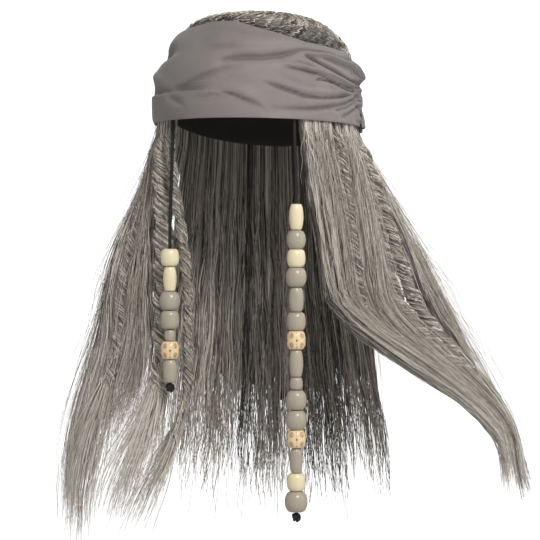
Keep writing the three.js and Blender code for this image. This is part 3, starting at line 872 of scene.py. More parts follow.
def twist_body(lock, inset=0.0009):
    """The twisted lock's own form, a little inside its strands, down to where it opens. It is painted
    dark, as painted shade in the gaps between the strands.
    """
    fall = between(FALLS[lock.side], lock.angle, "fall") * bpy.context.scene.wig_hair.length
    last = lock.open + 0.14
    rows = np.concatenate(
        [[float(root_drop(lock.angle)) / fall], np.linspace(0.01, lock.open, int(lock.turns * 12))]
        + [np.linspace(lock.open, last, 7)[1:]]
    )[:, None]
    side = (np.arange(16) / 16)[None, :]
    rings = twist_ring(lock, rows, side, -inset)
    middle = twist_place(lock, rows).middle
    thinner = 1 - 0.9 * smooth((rows - lock.open + 0.04) / (last - lock.open))
    rings = middle + (rings - middle) * thinner[..., None]
    # Painted shade: the body is dark, so the gaps between the wound strands look shaded
    shade = 0.24 + 0.1 * np.sin(side * TAU * 5) + 0 * rows
    return rings_solid(lock.name + "_body", rings, shade=shade)


def twist_strands(lock, bundle, rng):
    """Strands wound round a twisted lock, in tufts of one shade, that run on into its loose tail. Each tuft
    is painted lighter on its crest and darker at its sides, as painted highlight and shade.
    """
    hair = bpy.context.scene.wig_hair
    count = int(54 * lock.width)
    points = int(lock.turns * 12) + 5
    tufts = 11
    side = rng.uniform(0, 1, count)
    own = (side * tufts).astype(int)
    crest = np.sin(math.pi * (side * tufts - own))[:, None]
    tuft_shade = rng.normal(lock.tone, 0.1, tufts)
    wind = 1.9 + rng.normal(0, 0.05, tufts)[own][:, None]
    along = np.linspace(0, 1, points)[None, :]
    reach = rng.uniform(lock.open - 0.04, lock.open + 0.12, (count, 1))
    row = lerp(-0.035, reach, along)
    loosen = smooth((row - lock.open + 0.06) / 0.14)
    lift = 0.0005 * (crest - 0.6) + waves(rng, count, row * hair.length, 0.0002, 0.02, 1.0)
    lift = lift + loosen * rng.normal(0, 0.004, (count, 1))
    paths = twist_ring(lock, row, side[:, None] + 0 * row, lift, wind)
    width = tapered(rng, count, 0.9, 1.5, along, 0.6, 0.85)
    # Painted highlight and shade: each tuft is lighter on its crest and darker at its sides
    shade = tuft_shade[own][:, None] + 0.24 * (crest - 0.6) + 0.8 * streaks(rng, count)
    shade = shade + 0.4 * lock.pale * loosen
    bundle.add(paths, width, shade)

    count, points = int(140 * lock.width), 10
    along = np.linspace(0, 1, points)[None, :]
    start = lock.open - rng.uniform(0, 0.12, (count, 1))
    row = lerp(start, rng.triangular(0.8, 0.96, 1.04, (count, 1)), along)
    spread = smooth((row - lock.open + 0.08) / 0.3)
    way = rng.uniform(0, TAU, (count, 1))
    at = twist_place(lock, row)
    wide = at.wide * np.cos(way) * 0.9 + 0.007 * spread * rng.normal(0, 1, (count, 1))
    deep = at.deep * np.sin(way) * 0.9 + 0.001 * spread * rng.normal(0, 1, (count, 1))
    wide = wide + waves(rng, count, row * hair.length, 0.0009, 0.05, spread)
    paths = at.middle + at.across * wide[..., None] + at.outward * deep[..., None]
    width = tapered(rng, count, 0.7, 1.2, along, 0.7, 0.7)
    shade = lock.tone + streaks(rng, count) + lock.pale * spread * rng.uniform(0.3, 1, (count, 1))
    bundle.add(paths, width, shade)

    fluff, points = 190, 5
    along = np.linspace(0, 1, points)[None, :]
    start = rng.uniform(0.0, lock.open, (fluff, 1))
    row = start + rng.uniform(0.02, 0.07, (fluff, 1)) * along
    lift = 0.0002 + along**1.5 * rng.uniform(0.0002, 0.0032, (fluff, 1))
    paths = twist_ring(lock, row, rng.uniform(0, 1, (fluff, 1)) + 0 * row, lift, 1.2)
    width = hair.strand * 0.6 * (1 - 0.7 * along)
    bundle.add(paths, width, rng.normal(0.6, 0.2, (fluff, 1)))


def crown_low(angle):
    """The latitude of the crown's lowest bare hair, at the scarf's top edge."""
    hair = bpy.context.scene.wig_hair
    top = layers().top
    height = np.maximum(scarf_top_height(angle), -hair.crown_edge + hair.crown_puff)
    return latitude_at(height, top)


def crown_point(angle, share, lift):
    """A point on the bare crown, from the scarf's top edge to the top of the head."""
    hair = bpy.context.scene.wig_hair
    layer = layers()
    grow = hair.crown_puff * smooth(share * 3) + lift
    latitude = lerp(crown_low(angle), math.pi / 2, share)
    return head_point(angle, latitude, layer.outer + grow, layer.top + grow)


def crown_flow(angle, share):
    """Where round the whorl the hair at this place grows from: it swirls as it runs down."""
    return angle + WHORL_TURN * (1 - share) ** 1.2


def crown_crimp(root, share):
    """The crimp of the crown hair, from -1 to 1. Tufts of hair side by side are out of step."""
    tuft = np.floor(np.mod(root, 360) / TUFT_WIDTH)
    return np.sin(TAU * (share * CRIMPS + 0.13 * np.sin(tuft * 5.1)) + tuft * 2.3)


def crown_patch(root, share):
    """How pale the crown hair is, tuft by tuft and in bands down the head, with painted shade that darkens
    it towards the scarf's top edge.
    """
    tuft = np.floor(np.mod(root, 360) / TUFT_WIDTH)
    band = np.sin(tuft * 12.7 + share * 9) * np.sin(tuft * 4.1 + share * 17)
    # The last term is painted shade, darker towards the scarf's top edge
    return 0.16 * band + 0.1 * np.sin(share * 8 - 2.2) - 0.16 * (1 - smooth(share / 0.3))


def crown_body():
    """The crown's own form, crimped and a little inside its strands. The part under the scarf is pressed
    flat, and the lining lies on the cap. It is painted darker than its strands as painted shade between
    them, lighter on its crimps' crests as painted highlight, and darkest under the scarf and on the cap."""
    hair = bpy.context.scene.wig_hair
    layer = layers()
    columns = 180
    angle = (np.arange(columns) * 360 / columns)[None, :]
    share = np.linspace(0.97, 0.0, 50)[:, None]
    flow = crown_flow(angle, share)
    crimp = crown_crimp(flow, share)
    bare = crown_point(angle, share + 0 * angle, -0.0012 + 0.0005 * crimp * smooth(share / 0.1))
    bottom = latitude_at(-hair.crown_edge, layer.top)
    down = np.linspace(1, 0, 8)[1:, None]
    flat = 0.0007 + hair.depth * 0.66 * smooth((1 - down) / 0.3)
    covered = head_point(angle, lerp(bottom, crown_low(angle), down), layer.outer - flat, layer.top - flat)
    start = latitude_at(-hair.crown_edge, bpy.context.scene.wig_head.wall)
    up = np.linspace(0, 0.97, 18)[:, None]
    lining = head_point(angle, lerp(start, math.pi / 2, up), layer.inner, layer.inner)
    # Painted shade and highlight: darker than the strands, lighter on the crimps' crests, and darkest under
    # the scarf and on the cap
    shades = np.concatenate([0.26 + 0.1 * crimp + crown_patch(flow, share), np.full((25, columns), 0.2)])
    return rings_solid("crown_hair_body", np.concatenate([bare, covered, lining]), shade=shades)


def crown_strands(bundle, rng):
    """Crimped hair combed down from a whorl on the top of the head, in tufts that overlap. The crests of
    the crimps are painted lighter as painted highlight, and the hair darker near the scarf as painted shade.
    """
    for count, points, run_low, run_high in ((70, 34, 0.4, 0.9), (1080, 13, 0.1, 0.26)):
        high = rng.uniform(0.02, 0.985, (count, 1)) ** (0.8 if points < 20 else 0.2)
        run = np.minimum(rng.uniform(run_low, run_high, (count, 1)), high + 0.03)
        root = rng.uniform(0, 360, (count, 1))
        along = np.linspace(0, 1, points)[None, :]
        share = high - run * along
        inside = np.clip(share, 0, 1)
        crimp = crown_crimp(root, share)
        stray = rng.normal(0, 4, (count, 1)) * along
        angle = root - WHORL_TURN * (1 - inside) ** 1.2 + stray + 1.1 * crimp * (1.6 - inside)
        lift = 0.0005 * crimp + rng.uniform(0, 0.0009, (count, 1)) * np.sin(math.pi * along) - 0.0004
        paths = crown_point(angle, inside, lift * smooth((share + 0.02) / 0.1))
        paths[..., 2] += np.minimum(share, 0) * 0.02
        width = tapered(rng, count, 0.8, 1.3, along, 0.6, 0.7)
        # Painted highlight on the crimps' crests, and painted shade near the scarf from the crown's tone
        bundle.add(paths, width, 0.42 + 0.14 * crimp + crown_patch(root, share) + streaks(rng, count))


def fold(lift, below, above, *points):
    """A fold along a line of points. Lift is how far it stands out, or in where it is negative, and below
    and above are how far it reaches to its two sides, in millimetres."""
    line = table("angle rise strength", *points)
    return SimpleNamespace(lift=lift * MM, below=below * MM, above=above * MM, line=line)


# Folds in the scarf's front panel, each with the points of its line from its first end to its last: the
# angle, the share of the panel's height, and how strong the fold is there.
SCARF_FOLDS = [
    # The turned hem and its creases
    fold(
        2.2, 19, 0.45, (172, 0.2, 1), (198, 0.185, 1), (226, 0.15, 1), (262, 0.14, 0.8), (276, 0.1, 0.4),
        (290, 0.03, 0)
    ),
    fold(
        2.2, 0.8, 8, (250, 0.1, 0), (259, 0.12, 0.7), (274, 0.14, 1), (281, 0.115, 1), (288, 0.085, 0.8),
        (296, 0.03, 0)
    ),
    fold(-1.8, 1.5, 3, (229, 0.15, 0), (233, 0.12, 1), (241, 0.08, 1), (249, 0.03, 0)),
    # The bulge and the dent at the wearer's right
    fold(
        3.2, 6, 6, (172, 0.44, 0.8), (186, 0.42, 1), (196, 0.41, 1), (206, 0.36, 0.9), (222, 0.27, 0.5),
        (240, 0.19, 0)
    ),
    fold(-6.0, 8, 12, (172, 0.66, 0.5), (186, 0.64, 1), (205, 0.64, 1), (225, 0.62, 0.5), (248, 0.58, 0)),
    fold(-1.4, 7, 3, (232, 0.2, 0), (244, 0.2, 1), (257, 0.28, 1), (268, 0.34, 1), (282, 0.4, 0)),
    # Soft folds over the brow
    fold(
        2.6, 6, 10, (246, 0.7, 0), (265, 0.67, 0.8), (279, 0.67, 1), (292, 0.72, 1), (305, 0.84, 0.7),
        (318, 0.93, 0.2)
    ),
    fold(
        -3.0, 7, 3, (260, 0.4, 0), (268, 0.43, 0.6), (281, 0.51, 1), (291, 0.55, 1), (301, 0.64, 1),
        (319, 0.86, 0.2)
    ),
    # The long folds that run into the gathers
    fold(
        4.4, 3.5, 6, (306, 0.72, 0), (318, 0.755, 0.5), (332, 0.775, 1), (347, 0.73, 1), (355, 0.74, 1),
        (360, 0.98, 1), (364, 1, 1)
    ),
    fold(
        -4.4, 3, 2.2, (312, 0.77, 0), (320, 0.7, 0.5), (330, 0.625, 1), (346, 0.51, 1), (355, 0.47, 1),
        (360, 0.67, 1), (364, 1, 1)
    ),
    fold(
        2.8, 2.5, 5, (292, 0.5, 0), (304, 0.5, 0.4), (322, 0.515, 1), (337, 0.465, 1), (348, 0.42, 1),
        (355, 0.41, 1), (364, 0.95, 1)
    ),
    fold(
        -1.8, 1.4, 1.2, (298, 0.475, 0), (308, 0.475, 0.6), (323, 0.47, 1), (336, 0.4, 1),
        (347, 0.37, 1), (356, 0.38, 1), (364, 0.87, 1)
    ),
    fold(
        -3.2, 1.3, 2, (320, 0.375, 0), (325, 0.405, 0.8), (334, 0.39, 1), (345, 0.33, 1), (355, 0.33, 1),
        (364, 0.8, 1)
    ),
    fold(1.6, 4, 2, (322, 0.33, 0), (332, 0.34, 0.7), (344, 0.285, 1), (355, 0.29, 1), (364, 0.77, 1)),
    fold(
        -1.8, 2.4, 1.1, (287, 0.27, 0), (295, 0.245, 0.5), (303, 0.215, 0.9), (314, 0.18, 1),
        (324, 0.185, 1), (337, 0.22, 1), (356, 0.31, 1), (364, 0.74, 1)
    ),
    fold(1.2, 1.5, 6, (290, 0.3, 0), (303, 0.25, 0.8), (315, 0.22, 1), (337, 0.26, 1), (356, 0.34, 1)),
    fold(
        -1.9, 1.2, 3, (289, 0.01, 0), (296, 0.025, 0.7), (304, 0.04, 1), (314, 0.06, 1), (331, 0.11, 1),
        (345, 0.17, 1), (356, 0.25, 1), (364, 0.6, 1)
    ),
    fold(-1.7, 1.2, 1.8, (331, 0.09, 0), (337, 0.1, 0.7), (346, 0.14, 1), (356, 0.21, 1), (364, 0.5, 1)),
    fold(-1.7, 1.2, 1.8, (337, 0.05, 0), (342, 0.07, 0.7), (349, 0.1, 1), (356, 0.15, 1), (364, 0.38, 1)),
]


def arc_scale():
    """Metres round the scarf for each degree."""
    head = bpy.context.scene.wig_head
    return math.pi * (head.width + head.length) / 4 / 180


def fold_lift(row, angle, rise):
    """How far a fold lifts the cloth, by the distance to its line."""
    height = bpy.context.scene.wig_scarf.height
    step = 3.0

    def line(at, column):
        return np.interp(at, row.line["angle"], row.line[column])

    tight = 1 - 0.3 * smooth((angle - 298) / 18)
    slope = (line(angle + step, "rise") - line(angle - step, "rise")) * height / (2 * step * arc_scale())
    offset = (rise - line(angle, "rise")) * height / np.sqrt(1 + np.minimum(slope**2, 4))
    reach = np.where(offset > 0, row.above, row.below) * tight
    return row.lift * smooth(line(angle, "strength")) * np.exp(-((offset / reach) ** 2))


def gather_lift(distance, rise):
    """Pleats and puckers at a gathered edge, by the distance to it, with a gully along the seam."""
    pleat = np.cos(TAU * 6 * rise + 0.8 * np.sin(9 * rise))
    pucker = np.abs(np.sin(TAU * 6.7 * rise + 1.3)) ** 0.7
    long = np.exp(-((distance / 0.011) ** 2))
    short = np.exp(-((distance / 0.005) ** 2))
    seam = np.exp(-((distance / 0.0016) ** 2))
    return 0.0014 * long * (1 + pleat) + 0.0024 * short * pucker - 0.0034 * seam


def panel_lift(angle, rise):
    """How far the front panel stands off the hair. It sinks in where this is negative."""
    scarf = bpy.context.scene.wig_scarf
    tension = 0.45 * smooth((angle - 290) / 25)
    folds = sum(fold_lift(row, angle, rise) * (1 + tension * (row.lift < 0)) for row in SCARF_FOLDS)
    start = gather_lift((angle - SCARF_START) * arc_scale(), rise)
    end = gather_lift((SCARF_END - angle) * arc_scale(), rise)
    off_hem = smooth(rise / 0.06) * 0.8 + 0.2
    return off_hem * (folds + start + end) + scarf.slack


def crease_depth(lift):
    """How deep each place of the panel lies in a crease, from 0 to 1, by the cloth on its two sides: the
    painted shade that darkens the cloth in its creases.
    """
    near = sum(np.roll(lift, step, axis=1) for step in (-5, -3, -1, 1, 3, 5)) / 6
    return np.clip((near - lift) / 0.0009, 0, 1) * smooth((np.arange(lift.shape[1]) - 4) / 4)


def scarf_wall(name, angle, rise, lift, hem_roll, crease):
    """A wall of cloth between its hem and its top edge, with both edges rolled."""
    scarf = bpy.context.scene.wig_scarf
    layer = layers()

    def face(grow):
        low = latitude_at(hem_height(angle), layer.scarf_top + grow)
        high = latitude_at(scarf_top_height(angle), layer.scarf_top + grow)
        rolled = np.minimum(rise, 1 - rise) * scarf.height
        pinch = hem_roll * np.exp(-((rolled / 0.0012) ** 2))
        out = grow + lift + (pinch if grow == 0 else -pinch)
        return head_point(angle, lerp(low, high, rise), layer.scarf + out, layer.scarf_top + out)

    outer, inner = face(scarf.wall), face(0.0)
    flat = np.stack([angle * arc_scale() * 1.2 + 0 * rise, rise * scarf.height + 0 * angle], axis=-1)
    return wall_solid(name, outer, inner, uv=flat, crease=crease)


def paint_scarf(tree, shader):
    """A plain weave with faint clouds and grain, and painted shade that darkens it in the creases."""
    base = np.array(bpy.context.scene.wig_finishes.scarf)
    along, up = flat_map(tree)
    pitch = TAU / 2 / THREAD
    weave = calc(tree, "MULTIPLY", sine(tree, along, pitch), sine(tree, up, pitch))
    cloud = noise(tree, 28, detail=3.0)
    grain = noise(tree, 900, detail=2.0)
    mixed = calc(tree, "MULTIPLY_ADD", weave, 0.07, cloud)
    mixed = calc(tree, "MULTIPLY_ADD", grain, 0.6, calc(tree, "SUBTRACT", mixed, 0.17))
    colour = ramp(tree, mixed, (0.25, base * 0.82), (0.62, base), (1.0, base * 1.14))
    # Painted shade: the cloth is darker where it lies in a crease
    crease = add(tree, "ShaderNodeAttribute", attribute_name="crease").outputs["Fac"]
    value = calc(tree, "MULTIPLY_ADD", crease, -0.42, 1.0)
    shaded = add(tree, "ShaderNodeHueSaturation", {"Color": colour, "Value": value}).outputs["Color"]
    values = {"Roughness": 0.62, "Specular IOR Level": 0.4, "Sheen Weight": 0.15, "Sheen Roughness": 0.45}
    fill(tree, shader, {"Base Color": shaded, "Normal": bump(tree, weave, 0.25, 0.00012), **values})


def paint_cap(tree, shader):
    """A net of two sets of crossing cords."""
    base = np.array(bpy.context.scene.wig_finishes.cap)
    round_cap, up = flat_map(tree)
    cords = []
    for slant in ("ADD", "SUBTRACT"):
        ridge = calc(tree, "ABSOLUTE", sine(tree, calc(tree, slant, round_cap, up), TAU / 2 / NET_PITCH))
        cords.append(calc(tree, "SUBTRACT", 1.0, ridge))
    net = calc(tree, "MAXIMUM", *cords)
    colour = ramp(tree, net, (0.3, base * 0.35), (0.75, base * 1.3))
    fill(tree, shader, {"Base Color": colour, "Normal": bump(tree, net, 0.8, 0.0004), "Roughness": 0.75})


def paint_cord(tree, shader):
    """Three twisted strands, with painted highlights on their ridges and painted shade between them."""
    base = np.array(bpy.context.scene.wig_finishes.cord)
    turn, along = flat_map(tree)
    strands = sine(tree, along, TAU / CORD_LAY, calc(tree, "MULTIPLY", turn, 3 * TAU))
    # Painted highlight and shade: lighter on the ridges, darker in the grooves
    colour = ramp(tree, strands, (0.0, base * 0.5), (1.0, base * 1.9))
    fill(tree, shader, {"Base Color": colour, "Normal": bump(tree, strands, 0.7, 0.0003), "Roughness": 0.6})


def paint_group():
    """Turned wood under paint: fine grain along the bead, and faint clouds."""
    name = "Painted Wood"
    if name in bpy.data.node_groups:
        return bpy.data.node_groups[name]
    inputs = [("Color", "Color", (1, 1, 1, 1)), ("Grain", "Float", 0.12)]
    outputs = [("Color", "Color"), ("Roughness", "Float"), ("Height", "Float")]
    tree = new_tree(name, "ShaderNodeTree", inputs, outputs)
    given = tree.nodes.new("NodeGroupInput").outputs
    grain = noise(tree, 420, stretch=(1, 1, 0.12), detail=3.0)
    cloud = noise(tree, 90, detail=2.0)
    mixed = calc(tree, "MULTIPLY_ADD", grain, 0.6, calc(tree, "MULTIPLY", cloud, 0.4))
    strength = calc(tree, "MULTIPLY", calc(tree, "SUBTRACT", mixed, 0.5), given["Grain"])
    value = calc(tree, "ADD", strength, 1.0)
    shaded = add(tree, "ShaderNodeHueSaturation", {"Color": given["Color"], "Value": value})
    rough = calc(tree, "MULTIPLY_ADD", cloud, 0.16, 0.26)
    add(tree, "NodeGroupOutput", {"Color": shaded.outputs["Color"], "Roughness": rough, "Height": mixed})
    return tree


def paint_bead(tree, shader, finish_name):
    """Painted wood in one plain colour, or with rings."""
    finish = bpy.context.scene.wig_finishes
    if finish_name == "ringed":
        grain, colour = 0.3, ring_pattern(tree, finish)
    else:
        grain, colour = 0.22, (*getattr(finish, "bead_" + finish_name), 1.0)
    paint = add(tree, "ShaderNodeGroup", {"Color": colour, "Grain": grain}, node_tree=paint_group()).outputs
    values = {"Roughness": paint["Roughness"], "Coat Weight": 0.25, "Coat Roughness": 0.2}
    normal = bump(tree, paint["Height"], 0.12, 0.0002)
    fill(tree, shader, {"Base Color": paint["Color"], "Normal": normal, **values})


def ring_pattern(tree, finish):
    """Pairs of rings round a bead, with dots and dotted lines between them."""
    turn, height = flat_map(tree)
    cell = calc(tree, "FRACT", calc(tree, "MULTIPLY", turn, RING_REPEATS))
    across = calc(tree, "ABSOLUTE", calc(tree, "MULTIPLY", calc(tree, "SUBTRACT", cell, 0.5), 1.25))
    level = calc(tree, "ABSOLUTE", calc(tree, "SUBTRACT", height, 0.5))

    def distance(column, row):
        side = calc(tree, "SUBTRACT", across, column)
        up = calc(tree, "MULTIPLY", calc(tree, "SUBTRACT", level, row), 1.6)
        return calc(tree, "SQRT", calc(tree, "MULTIPLY_ADD", side, side, calc(tree, "MULTIPLY", up, up)))

    def within(column, row, radius):
        return calc(tree, "LESS_THAN", distance(column, row), radius)

    edge = 0.625
    ridges = sine(tree, distance(0.0, 0.26), TAU / 0.115, 1.2)
    ring_mask = calc(tree, "MULTIPLY", calc(tree, "GREATER_THAN", ridges, -0.15), within(0.0, 0.26, 0.245))
    dot_mask = calc(tree, "MAXIMUM", within(edge, 0.0, 0.095), within(edge, 0.38, 0.06))
    specks = calc(tree, "GREATER_THAN", sine(tree, height, TAU * 11), 0.3)
    narrow = calc(tree, "MULTIPLY", specks, calc(tree, "GREATER_THAN", across, 0.597))
    line_mask = calc(tree, "MULTIPLY", narrow, within(edge, 0.19, 0.17))
    colour = (*finish.bead_ground, 1.0)
    marks = ((ring_mask, finish.bead_ring), (dot_mask, finish.bead_dot), (line_mask, linear("7d6a4a")))
    for mask, paint in marks:
        mixed = add(tree, "ShaderNodeMix", {"Factor": mask, 6: colour, 7: (*paint, 1.0)}, data_type="RGBA")
        colour = mixed.outputs[2]
    return colour


# The beads from the top of each string down: shape, finish, and length and width as shares of the
# beads' shared size.
LEFT_BEADS = [
    ("oval", "cream", 1.28, 0.72),
    ("round", "grey", 0.91, 0.95),
    ("barrel", "cream", 0.88, 0.92),
    ("round", "grey", 0.95, 1.03),
    ("oval", "grey", 1.21, 0.75),
    ("barrel", "grey", 0.9, 0.94),
    ("barrel", "ringed", 0.91, 0.94),
    ("oval", "grey", 1.34, 0.69),
    ("barrel", "grey", 0.62, 0.65),
    ("round", "grey", 0.97, 1.02),
    ("round", "grey", 0.95, 1.04),
    ("barrel", "ringed", 0.89, 0.95),
    ("oval", "grey", 1.21, 0.66),
    ("barrel", "cream", 0.88, 0.93),
    ("round", "grey", 1.02, 1.14),
]
RIGHT_BEADS = [
    ("barrel", "cream", 0.86, 0.94),
    ("oval", "cream", 1.24, 0.68),
    ("round", "grey", 0.92, 1.05),
    ("barrel", "grey", 0.92, 0.95),
    ("barrel", "grey", 0.58, 0.56),
    ("barrel", "ringed", 0.89, 0.94),
    ("oval", "grey", 1.15, 0.73),
]
# The end's width as a share of the bead's, and how square the bulge between the ends is
BEAD_SHAPES = {"round": (0.5, 2.0), "barrel": (0.56, 2.3), "oval": (0.6, 1.9)}


def bead_piece(name, bead, centre):
    """A turned bead with a bore and softened ends, standing on its lower end."""
    sizes = bpy.context.scene.wig_beads
    shape, finish_name, long, wide = bead
    end, squareness = BEAD_SHAPES[shape]
    tall, radius = long * sizes.size, wide * sizes.size / 2
    bore = sizes.cord / 2 + bpy.context.scene.wig_head.clearance
    share = (1 - np.cos(np.linspace(0, math.pi, 19))) / 2
    bulge = (1 - np.abs(2 * share - 1) ** squareness) ** (1 / squareness)
    side = radius * lerp(end, 1.0, bulge)
    rounding = 0.0007
    outline = [(bore, rounding * 0.6), (bore + rounding * 0.5, 0.0), (side[0] - rounding, 0.0)]
    outline += [(r, z * tall) for r, z in zip(side[1:-1], share[1:-1])]
    outline += [(side[-1] - rounding, tall), (bore + rounding * 0.5, tall), (bore, tall - rounding * 0.6)]
    outline = np.array(outline)
    turns = 33
    way = np.linspace(0, TAU, turns)
    outline = np.vstack([outline, outline[:1]])
    x = outline[:, 0:1] * np.cos(way)[None, :]
    y = outline[:, 0:1] * np.sin(way)[None, :]
    z = outline[:, 1:2] + 0 * way[None, :]
    points = np.stack([x, y, z], axis=-1) + np.array(centre)
    u = np.broadcast_to(np.linspace(0, 1, turns)[None, :], x.shape)
    v = np.broadcast_to(outline[:, 1:2] / tall, x.shape)
    piece = solid(name, points, grid_faces(len(outline), turns), uv=np.stack([u, v], axis=-1))
    weld(piece)
    piece.data.materials.append(painted(finish_name + "_paint", paint_bead, finish_name))
    return piece


def tube(name, path, radii, sides=16, closed=False):
    """A round tube along a path, with a map that runs round it and along it in metres."""
    path = np.asarray(path, float)
    count = len(path)
    if closed:
        along = np.roll(path, -1, axis=0) - np.roll(path, 1, axis=0)
    else:
        along = np.gradient(path, axis=0)
    along = unit(along)
    across = np.zeros_like(path)
    across[0] = unit(np.cross(along[0], (0.3, 1.0, 0.1)))
    for i in range(1, count):
        across[i] = unit(across[i - 1] - along[i] * np.dot(across[i - 1], along[i]))
    other = np.cross(along, across)
    way = np.linspace(0, TAU, sides + 1)
    radii = np.broadcast_to(radii, count)
    rings = (
        path[:, None]
        + across[:, None] * (radii[:, None] * np.cos(way))[..., None]
        + other[:, None] * (radii[:, None] * np.sin(way))[..., None]
    )
    run = np.concatenate([[0], np.cumsum(np.linalg.norm(np.diff(path, axis=0), axis=1))])
    flat = np.stack(np.broadcast_arrays(way[None, :] / TAU, run[:, None]), axis=-1)
    if closed:
        rings = np.concatenate([rings, rings[:1]])
        flat = np.concatenate([flat, flat[-1:]])
        return solid(name, rings, grid_faces(count + 1, sides + 1), uv=flat)
    faces = grid_faces(count, sides + 1)
    faces.append(list(range(sides)))
    faces.append(list(range((count - 1) * (sides + 1), (count - 1) * (sides + 1) + sides)))
    return solid(name, rings, faces, uv=flat)


def string_pieces(side, angle, drop, outward, beads):
    """A cord that hangs from inside the scarf's hem, its beads and the knot that holds them."""
    sizes = bpy.context.scene.wig_beads
    clearance = bpy.context.scene.wig_head.clearance
    hem = float(hem_height(angle))
    edge = head_point(angle, 0.0, layers().scarf - 2 * clearance - sizes.cord / 2, 0.0)
    edge[2] = hem
    hang = np.array([edge[0] + outward, edge[1] - sizes.forward, -drop])
    total = sum(bead[2] * sizes.size + clearance for bead in beads)
    knot_top = -drop - total

    settled = smooth(np.linspace(0, 1, 25))[:, None]
    bend = lerp(edge, hang, settled)
    bend[:, 2] = np.linspace(hem, -drop, 25)
    top = edge + np.array([0, 0, sizes.cord * 4])
    below = np.array([*hang[:2], knot_top - sizes.knot * 0.3])
    path = np.concatenate([[top], bend, np.linspace(bend[-1], below, 12)[1:]])
    cord = tube(f"cord_{side}", path, sizes.cord / 2 * 0.96, sides=14)
    centre = np.array([*hang[:2], knot_top - sizes.knot * 0.5])
    turn = np.linspace(0, TAU, 72, endpoint=False)
    x, y = np.sin(turn) + 2 * np.sin(2 * turn), np.cos(turn) - 2 * np.cos(2 * turn)
    loop = np.stack([x, y, -2.2 * np.sin(3 * turn)], axis=-1)
    knot = tube(f"knot_{side}", centre + loop * sizes.knot * 0.112, sizes.cord * 0.48, sides=10, closed=True)
    end_path = np.array([centre + (0, 0, -sizes.knot * 0.1), centre + (0.0012, 0.0006, -sizes.knot * 0.5)])
    tail = tube(f"tail_{side}", end_path, sizes.cord * 0.4, sides=10)
    for part in (cord, knot, tail):
        weld(part)
    cord = join(f"cord_{side}_piece", cord, knot, tail)
    cord.data.materials.clear()
    cord.data.materials.append(painted("black_cord", paint_cord))
    place(cord, "cord", f"cord_{side}")

    level = -drop
    for i, bead in enumerate(beads, start=1):
        level -= bead[2] * sizes.size + clearance
        name = f"bead_{side}_{i}"
        piece = bead_piece(name + "_piece", bead, (hang[0], hang[1], level + clearance))
        place(piece, bead[1] + "_bead", name)


def paint_floor(tree, shader):
    """Grey to the light, and close to white where the camera sees it."""
    seen = add(tree, "ShaderNodeLightPath").outputs["Is Camera Ray"]
    glow = {"Emission Color": (1, 1, 1, 1), "Emission Strength": calc(tree, "MULTIPLY_ADD", seen, 0.9, 0.13)}
    values = {"Base Color": (0.5, 0.5, 0.5, 1), "Roughness": 0.9, "Specular IOR Level": 0.1}
    fill(tree, shader, {**glow, **values})


class WIG_OT_stage(bpy.types.Operator):
    """Make the camera, the soft lights and the pale floor"""

    bl_idname = "wig.stage"
    bl_label = "Stage"

    def execute(self, context):
        scene = context.scene
        azimuth = math.radians(15)
        distance, eye_height = 2.1, -0.150
        across = np.array([math.cos(azimuth), math.sin(azimuth), 0.0])
        back = np.array([math.sin(azimuth), -math.cos(azimuth), 0.0])
        aim = across * 0.01056 + np.array([0, 0, -0.205])
        eye = back * distance + np.array([0, 0, eye_height])
        camera = show("camera", bpy.data.cameras.new("camera"))
        camera.location = eye
        direction = Vector(aim - eye)
        camera.rotation_euler = direction.to_track_quat("-Z", "Y").to_euler()
        camera.data.lens = 159.1
        camera.data.sensor_width = 36.0
        camera.data.clip_start = 0.05
        camera.data.clip_end = 100.0
        scene.camera = camera

        floor_height = cad_box[0].z - 0.014
        flat, sweep = 3.2, 1.3
        bend = np.linspace(0.1, math.pi / 2, 12)
        curve = np.stack([flat + sweep * np.sin(bend), sweep - sweep * np.cos(bend)], axis=-1)
        profile = np.concatenate([[(0.02, 0.0), (flat, 0.0)], curve, [(flat + sweep, flat + sweep)]])
        way = np.linspace(0, TAU, 96, endpoint=False)
        rings = np.stack(
            [
                profile[:, 0:1] * np.cos(way),
                profile[:, 0:1] * np.sin(way),
                profile[:, 1:2] + floor_height + 0 * way[None, :],
            ],
            axis=-1,
        )
        faces = grid_faces(len(profile), len(way), wrap=True)
        faces.append(list(range(len(way))))
        floor = solid("floor", rings, faces)
        floor.data.materials.append(painted("pale_floor", paint_floor))
        floor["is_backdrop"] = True

        lamps = [
            ("key", (1.4, -2.0, 1.7), 0.7, 58.0),
            ("fill", (-2.0, -1.7, 0.3), 1.4, 2.0),
            ("side", (2.4, -0.3, 0.5), 1.2, 8.0),
            ("rim_left", (-1.2, 2.1, 0.9), 1.0, 2.0),
            ("rim_right", (1.7, 1.7, 0.9), 1.0, 8.0),
        ]
        for name, where, size, power in lamps:
            light = bpy.data.lights.new(name, "AREA")
            light.shape = "DISK"
            light.size = size
            light.energy = power
            lamp = show(name, light)
            lamp.location = where
            towards = Vector((0, 0, -0.2)) - lamp.location
            lamp.rotation_euler = towards.to_track_quat("-Z", "Y").to_euler()
        world = bpy.data.worlds.new("studio")
        world.use_nodes = True
        world.node_tree.nodes["Background"].inputs["Color"].default_value = (1, 1, 1, 1)
        world.node_tree.nodes["Background"].inputs["Strength"].default_value = 0.22
        scene.world = world
        scene.view_settings.view_transform = "Standard"
        return {"FINISHED"}


